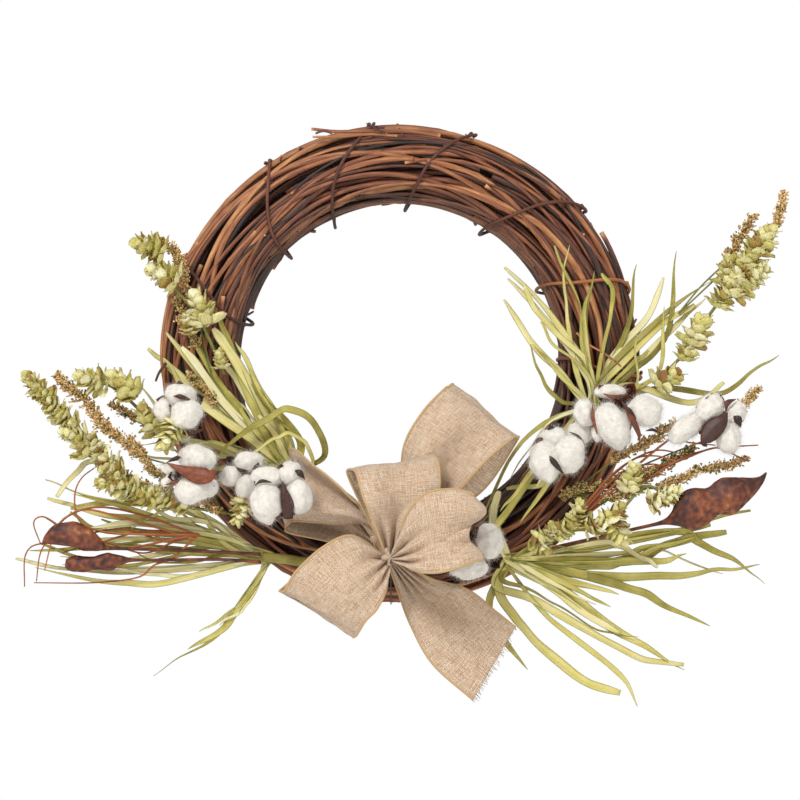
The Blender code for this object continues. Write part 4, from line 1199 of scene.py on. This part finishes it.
def hops():
    """The five sprays. hop_spray says what the numbers of a cone are."""
    hop_spray("hop_spray_left_upper", [(-130, 13, 140), (-141, 16, 166), (-152, 17, 187),
                                       (-170, 19, 208), (-186, 21, 232)], [
        (-186, 22, 235, -0.9, 0.3, 9.5), (-176, 22, 214, -0.85, 0.35, 9.5),
        (-147, 20, 190, -0.35, 0.9, 10.5), (-156, 18, 178, -0.2, 0.9, 6),
        (-133, 18, 152, -0.1, 1.0, 5.5)], 71)
    hop_spray("hop_spray_left_mid", [(-166, 20, 88), (-178, 26, 98), (-194, 31, 116),
                                     (-212, 32, 131), (-231, 32, 137)], [
        (-229, 33, 136, -0.9, 0.3, 9.5), (-204, 34, 133, -0.7, 0.6, 10),
        (-185, 36, 108, -0.5, 0.7, 9.5), (-170, 52, 94, -0.3, -0.6, 9)], 72)
    hop_spray("hop_spray_left_lower", [(-128, 26, 38), (-166, 28, 44), (-187, 30, 50),
                                       (-206, 32, 62), (-222, 34, 82), (-238, 35, 98),
                                       (-254, 36, 117), (-269, 36, 134)], [
        (-270, 36, 134, -0.6, 0.8, 7.5), (-263, 37, 125, -0.8, 0.4, 7),
        (-255, 37, 116, -0.7, 0.6, 8), (-247, 36, 108, -0.8, 0.6, 8),
        (-241, 38, 96, -0.9, 0.2, 8), (-236, 36, 90, -0.6, 0.7, 8.5),
        (-225, 37, 88, -0.3, 0.9, 7.5), (-219, 36, 78, -0.8, 0.5, 8.5),
        (-213, 36, 70, -0.8, 0.1, 7.5), (-206, 35, 60, -0.8, 0.5, 8.5),
        (-216, 36, 60, -0.9, 0.1, 7), (-190, 33, 50, -0.9, 0.3, 8),
        (-166, 31, 46, -0.9, 0.4, 7.5), (-118, 30, 38, -0.3, -0.8, 7.5),
        (-198, 33, 56, -0.7, 0.6, 7), (-178, 31, 52, -0.7, 0.6, 6.5)], 73)
    hop_spray("hop_spray_right_upper", [(189, 9, 132), (201, 14, 146), (213, 20, 159),
                                        (222, 22, 175), (234, 25, 192), (246, 28, 209),
                                        (257, 29, 225), (268, 30, 240)], [
        (269, 31, 240, 0.6, 0.9, 9), (261, 31, 231, 0.3, 0.9, 9.5), (254, 30, 221, 0.5, 0.9, 10),
        (263, 30, 214, 0.9, 0.5, 9), (249, 30, 210, 0.4, 0.9, 10), (242, 29, 218, 0.1, 1.0, 8.5),
        (255, 29, 205, 0.8, 0.6, 8.5), (240, 28, 200, 0.5, 0.9, 8.5), (221, 26, 174, 0.5, 0.9, 10),
        (212, 23, 160, 0.1, 1.0, 7.5), (199, 18, 138, 0.8, 0.5, 9)], 74)
    hop_spray("hop_spray_right_lower", [(98, 12, 20), (112, 26, 26), (130, 40, 38),
                                        (147, 43, 30), (162, 44, 40), (180, 45, 58),
                                        (197, 45, 50)], [
        (171, 46, 65, 0.2, 1.0, 8.5), (192, 46, 48, 0.9, 0.2, 7.5), (199, 46, 52, 0.9, 0.3, 6.5),
        (158, 46, 38, 0.6, 0.6, 8), (161, 47, 24, 0.4, -0.8, 9), (131, 43, 39, 0.2, 0.9, 7.5),
        (123, 36, 28, 0.7, 0.5, 7.5), (146, 44, 30, 0.8, 0.2, 7.5), (110, 26, 24, 0.6, 0.6, 7),
        (104, 20, 14, 0.5, -0.5, 6.5)], 75)


# ---- Seed spikes -----------------------------------------------------------------------
def seed_template():
    """One seed, 2.5 long and 1.6 wide before it is scaled."""
    mesh = new_mesh()
    bmesh.ops.create_icosphere(mesh, subdivisions=1, radius=1.0, calc_uvs=True)
    bmesh.ops.scale(mesh, vec=(0.8, 0.8, 1.25), verts=mesh.verts)
    return mesh


def spike_group(node, root, spikes, seed):
    """Seed spikes that share a node. Each spike: its places from tip to base (X, forward, Z),
    how thick it is in mm, and what share of its seeds is green. Short side branches leave its
    stalk all round, and the seeds sit along them."""
    branches_per_mm = 1.6
    seeds_on_branch = 12
    rng = random.Random(seed)
    places = []
    tones = []
    stems = []
    for points, thick, green in spikes:
        path = smooth_path([at(*point) for point in points], 8)
        length = sum((b - a).length for a, b in zip(path, path[1:]))
        branches = int(length / MM * branches_per_mm)
        for branch in range(branches):
            share = (branch + rng.random()) / branches
            index = min(int(share * (len(path) - 1)), len(path) - 2)
            along = (path[index] - path[index + 1]).normalized()
            out = Vector([rng.gauss(0, 1) for axis in range(3)])
            out = (out - along * out.dot(along)).normalized()
            reach = 1.75 * thick * MM * (0.45 + 0.55 * min(1, share * 5)) * rng.uniform(0.45, 1.0)
            reach *= 0.75 + 0.35 * noise.noise(path[index] * 160)
            for number in range(seeds_on_branch):
                part = rng.uniform(0.1, 1.0)
                stray = Vector([rng.gauss(0, 0.0010) for axis in range(3)])
                here = path[index] + (out * 0.9 + along * 0.5) * reach * part + stray
                grain = rng.uniform(0.0005, 0.00105)
                places.append(aligned(here, (out + along * 0.8).normalized(),
                                      rng.uniform(0, tau), (grain, grain, grain)))
                tones.append(rng.uniform(0, 0.14) if rng.random() < green
                             else min(1, max(0.2, rng.gauss(0.55, 0.17))))
        tail = [path[-1], (path[-1] + at(*root)) / 2 + Vector((0, 0, 0.002)), at(*root)]
        stalk = path[:-1] + smooth_path(tail, 6)
        stems.append(tube(stalk, [0.0007] * len(stalk), 5, 0.4))
    piece(node + "_grains", scattered(seed_template(), places, np.array(tones)), [seed_husk],
          [node])
    piece(node + "_stalks", gathered(stems), [green_stem])


def seeds():
    """The four groups of spikes. spike_group says what the numbers of a spike are."""
    spike_group("seed_spikes_left_upper", (-140, 8, 142), [
        ([(-181, 12, 242), (-165, 11, 229), (-159, 10, 208), (-152, 9, 190)], 4.2, 0.16),
        ([(-166, 10, 196), (-157, 10, 174), (-148, 9, 160)], 4.6, 0.22),
        ([(-155, 11, 140), (-146, 10, 130), (-136, 8, 118)], 3.6, 0.2)], 81)
    spike_group("seed_spikes_left_lower", (-146, 19, 62), [
        ([(-253, 24, 139), (-240, 24, 126), (-227, 23, 115), (-218, 22, 102), (-206, 21, 92),
          (-186, 20, 78)], 5.4, 0.14),
        ([(-213, 13, 118), (-196, 12, 108), (-182, 11, 98)], 3.8, 0.2),
        ([(-208, 21, 70), (-192, 21, 59), (-173, 20, 56)], 3.8, 0.3),
        ([(-198, 22, 92), (-185, 22, 72), (-172, 20, 64)], 3.6, 0.25),
        ([(-158, 30, 49), (-146, 30, 45), (-131, 28, 38)], 3.4, 0.2),
        ([(-176, 30, 62), (-160, 26, 48), (-148, 24, 42)], 3.2, 0.35)], 82)
    spike_group("seed_spikes_right_upper", (206, 12, 185), [
        ([(284, 14, 274), (281, 14, 260), (276, 14, 246)], 4.0, 0.1),
        ([(262, 14, 258), (253, 14, 244), (246, 14, 232), (238, 14, 220)], 4.2, 0.15)], 83)
    spike_group("seed_spikes_right_mid", (128, 24, 50), [
        ([(265, 16, 129), (252, 16, 115), (249, 16, 100)], 3.8, 0.1),
        ([(203, 28, 104), (186, 28, 92), (170, 27, 84), (154, 26, 74)], 4.6, 0.08),
        ([(255, 28, 78), (238, 28, 72), (221, 27, 70), (205, 27, 62), (188, 26, 56)], 3.6, 0.12),
        ([(216, 26, 86), (198, 26, 74), (174, 25, 58)], 3.4, 0.4),
        ([(161, 30, 60), (134, 29, 56), (117, 26, 50)], 4.0, 0.35),
        ([(186, 32, 70), (168, 31, 66), (150, 28, 56)], 3.4, 0.5),
        ([(178, 34, 56), (160, 33, 50), (140, 30, 46)], 3.2, 0.4)], 84)


# ---- Pods and twigs --------------------------------------------------------------------
def pod(node, stations, seed, crease=0.28):
    """A folded dry pod on its stalk. Each station: X, forward, Z, half width and half depth
    in mm."""
    centres = smooth_path([at(x, f, z) for x, f, z, wide, deep in stations], 8)
    girths = smooth_path([Vector((wide, deep, 0)) * MM for x, f, z, wide, deep in stations], 8)
    last = len(centres) - 1
    frames = frames_along(centres)
    length = sum((b - a).length for a, b in zip(centres, centres[1:]))

    def surface(u, v):
        index = min(int(round(v * last)), last)
        side, front = frames[index]
        turn = tau * u
        wide, deep = max(0.0006, girths[index].x), max(0.0006, girths[index].y)
        swell = min(1.0, wide / 0.004)
        dent = 1 - crease * swell * max(0, cos(turn * 2 + 0.6 * sin(v * 9))) ** 4
        ring = Vector((cos(turn), sin(turn), 0))
        rough = 1 + 0.13 * swell * noise.noise(ring * 1.2 + Vector((0, 0, v * 8 + seed)))
        rough += 0.14 * swell * (0.5 - abs(noise.noise(ring * 2.2 + Vector((0, 0, v * 7 - seed)))))
        rough += 0.03 * swell * noise.noise(ring * 8 + Vector((0, 0, v * 50 + seed)))
        return (centres[index] + side * (cos(turn) * wide * dent * rough)
                + front * (sin(turn) * deep * dent * rough))
    mesh = grid_piece(44, last, surface, (1.0, length), 0.5)
    close_seams(mesh)
    tones = mesh.verts.layers.float["tone"]
    for vert in mesh.verts:
        vert[tones] = 0.50 + 0.30 * noise.noise(vert.co * 60) + 0.45 * noise.noise(vert.co * 300)
    piece(node + "_skin", mesh, [pod_skin], [node])


def pods():
    """The three pods. pod says what the numbers of a station are."""
    pod("pod_left_upper", [
        (-264, 26, 15, 0.6, 0.6), (-259, 27, 19, 4.5, 3.5), (-250, 28, 22.5, 8.2, 6.5),
        (-240, 29, 22, 9.6, 8.0), (-230, 28, 18, 8.6, 7.5), (-222, 27, 14, 5.0, 4.5),
        (-214, 25, 12, 1.6, 1.6), (-190, 19, 11, 1.2, 1.2), (-140, 9, 9, 1.2, 1.2),
        (-103, 6.5, 7, 1.2, 1.2)], 1.0)
    pod("pod_left_lower", [
        (-247, 22, 1, 3.0, 3.0), (-243, 22, 0.5, 5.6, 5.0), (-235, 22, 0, 6.4, 5.6),
        (-226, 22, 1, 5.6, 5.2), (-214, 21, 2, 6.6, 5.2), (-205, 20, 3, 3.4, 3.0),
        (-196, 18, 3, 1.4, 1.4), (-170, 13, 3, 1.2, 1.2), (-130, 6, 3, 1.2, 1.2),
        (-103, 6, 1, 1.2, 1.2)], 4.0)
    pod("pod_right", [
        (269, 44, 68, 0.6, 0.6), (264, 45, 62, 3.6, 3.2), (253, 46, 56, 9.5, 7.0),
        (241, 47, 51, 14.6, 9.5), (230, 46, 47, 12.4, 8.4), (219, 46, 43, 15.4, 9.8),
        (209, 45, 38, 13.0, 8.4), (201, 43, 34, 5.4, 4.4), (192, 39, 31, 1.8, 1.8),
        (172, 30, 26, 1.4, 1.4), (148, 19, 20, 1.3, 1.3), (122, 10, 14, 1.3, 1.3),
        (102, 7, 9, 1.3, 1.3)], 7.0, 0.42)


def twig_group(node, root, forward, twigs, seed, thick):
    """Curly twigs from their tips (X, Z in mm) to the root they share, about as far forward as
    each other, thinner towards the tip and knobbly. thick is their radius two thirds of the
    way from the tip."""
    rng = random.Random(seed)
    meshes = []
    for points in twigs:
        lane = forward + rng.uniform(-2.5, 2.5)
        route = [at(x, lane + rng.uniform(-1.5, 1.5), z) for x, z in points]
        route.append(at(root[0] + rng.uniform(-2, 2), forward, root[1] + rng.uniform(-2, 2)))
        path = smooth_path(route, 8)
        last = len(path) - 1
        radii = []
        for index in range(last + 1):
            knob = 0.35 * max(0, noise.noise(Vector((index * 0.45, seed, len(points)))))
            radii.append(thick * (0.55 + 0.65 * index / last) * (1 + knob))
        meshes.append(tube(path, radii, 6, rng.uniform(0.25, 0.85)))
    piece(node + "_sticks", gathered(meshes), [willow_bark], [node])


def twigs():
    """The two bunches. Each twig is a list of places."""
    twig_group("curly_twigs_left", (-150, 20), 14, [
        [(-278, -17), (-277, 7), (-265, 15), (-233, 13), (-208, 20), (-188, 24)],
        [(-266, 15), (-271, 30), (-265, 35), (-255, 30), (-233, 13), (-200, 12)],
        [(-269, -13), (-266, 8), (-258, 20), (-246, 35), (-223, 42), (-190, 36)],
        [(-263, -5), (-259, 12), (-254, 28), (-235, 40), (-205, 34)],
        [(-271, -14), (-226, -14), (-194, -10), (-182, -1), (-169, 4)],
        [(-226, 71), (-235, 64), (-240, 54), (-240, 40), (-235, 30), (-220, 24), (-194, 22)],
        [(-262, 34), (-240, 22), (-206, 26), (-176, 18)],
        [(-250, 8), (-222, 16), (-190, 8), (-168, 16)]], 91, 0.00075)
    twig_group("curly_twigs_right", (124, 28), 31, [
        [(264, 88), (246, 87), (232, 86), (207, 78), (180, 62), (150, 46)],
        [(257, 76), (248, 80), (232, 86), (204, 76), (173, 66)],
        [(204, 76), (189, 80), (173, 78), (156, 65), (138, 45)],
        [(200, 70), (186, 74), (168, 70), (150, 56)], [(196, 66), (180, 66), (160, 54), (142, 40)],
        [(232, 88), (212, 90), (198, 92)],
        [(206, 82), (188, 84), (166, 74), (148, 58)]], 92, 0.00085)


# ---- Everything ------------------------------------------------------------------------
# Each wrapping cane: its place, its angle at the ring's outside and inside, and its hook.
DARK_WRAPS = [("left_low", 153, 165, 0.004), ("left_high", 122, 136, 0.005),
              ("top", 96, 115, 0.005), ("top_right", 72, 87, 0.003),
              ("right_high", 40, 57, 0.004)]
PALE_WRAPS = [("right_mid", 18, 27, 0.002), ("right_low", -4, 1, 0.0)]


def wreath():
    """The whole wreath: ring, wrapping canes, bow, then the dried plants tucked in round it."""
    vine_ring()
    for seed, (place, outside, inside, hook) in enumerate(DARK_WRAPS, 1):
        wrapping_cane("vine_tie_" + place, outside, inside, tie_bark, seed, hook)
    for seed, (place, outside, inside, hook) in enumerate(PALE_WRAPS, len(DARK_WRAPS) + 1):
        wrapping_cane("vine_tie_" + place, outside, inside, pale_bark, seed, hook)
    bow()
    bow_waist()
    binding_wire()
    bolls()
    grass()
    hops()
    seeds()
    pods()
    twigs()


wreath()


# ---- Camera, light and backdrop ----------------------------------------------------------
def studio():
    """A pale floor, white all round, a key and a fill light, and the camera straight in front."""
    scene = bpy.context.scene
    scene.view_settings.view_transform = "Standard"
    pale = finish("painted_backdrop", 0.9)[0]
    shade = pale.node_tree
    wash = add(shade, "TexNoise", {"Scale": 0.4}).outputs["Fac"]
    tint = add(shade, "ValToRGB", {0: wash}, [(0.0, "f4f3f1"), (1.0, "fbfaf8")]).outputs[0]
    shade.links.new(tint, shade.nodes["Principled BSDF"].inputs["Base Color"])
    mesh = bmesh.new()
    bmesh.ops.create_grid(mesh, x_segments=1, y_segments=1, size=2)
    data = bpy.data.meshes.new("studio_floor")
    mesh.to_mesh(data)
    mesh.free()
    data.materials.append(pale)
    floor = bpy.data.objects.new("studio_floor", data)
    floor.location = (0, 0, -0.85)
    scene.collection.objects.link(floor)

    # White all round, as in a light tent, but lit less strongly than it looks.
    world = bpy.data.worlds.new("studio_air")
    scene.world = world
    world.use_nodes = True
    sky = world.node_tree
    seen = add(sky, "LightPath").outputs["Is Camera Ray"]
    strength = add(sky, "MapRange", {0: seen, 3: 0.70, 4: 1.0}).outputs[0]
    sky.nodes["Background"].inputs["Color"].default_value = (1, 1, 1, 1)
    sky.links.new(strength, sky.nodes["Background"].inputs["Strength"])

    for name, place, size, power in (("key", (-1.0, -2.0, 1.5), 0.8, 46.0),
                                     ("fill", (1.2, -2.1, -0.9), 1.4, 17.0)):
        lamp = bpy.data.lights.new(name, "AREA")
        lamp.shape = "DISK"
        lamp.size = size
        lamp.energy = power
        obj = bpy.data.objects.new(name, lamp)
        obj.location = place
        aim = Vector((0, 0, ring_centre.z)) - obj.location
        obj.rotation_euler = aim.to_track_quat("-Z", "Y").to_euler()
        scene.collection.objects.link(obj)

    lens = bpy.data.cameras.new("camera")
    lens.sensor_width = 36.0
    distance = 4.0
    view_width = 0.5936
    view_plane = 0.030      # the view is that wide this far in front of the ring's middle
    view_drop = 0.0275      # the camera looks this far below the ring's middle
    lens.lens = lens.sensor_width * (distance - view_plane) / view_width
    camera = bpy.data.objects.new("camera", lens)
    camera.location = (0, -distance, ring_centre.z - view_drop)
    camera.rotation_euler = (pi / 2, 0, 0)
    scene.collection.objects.link(camera)
    scene.camera = camera


studio()
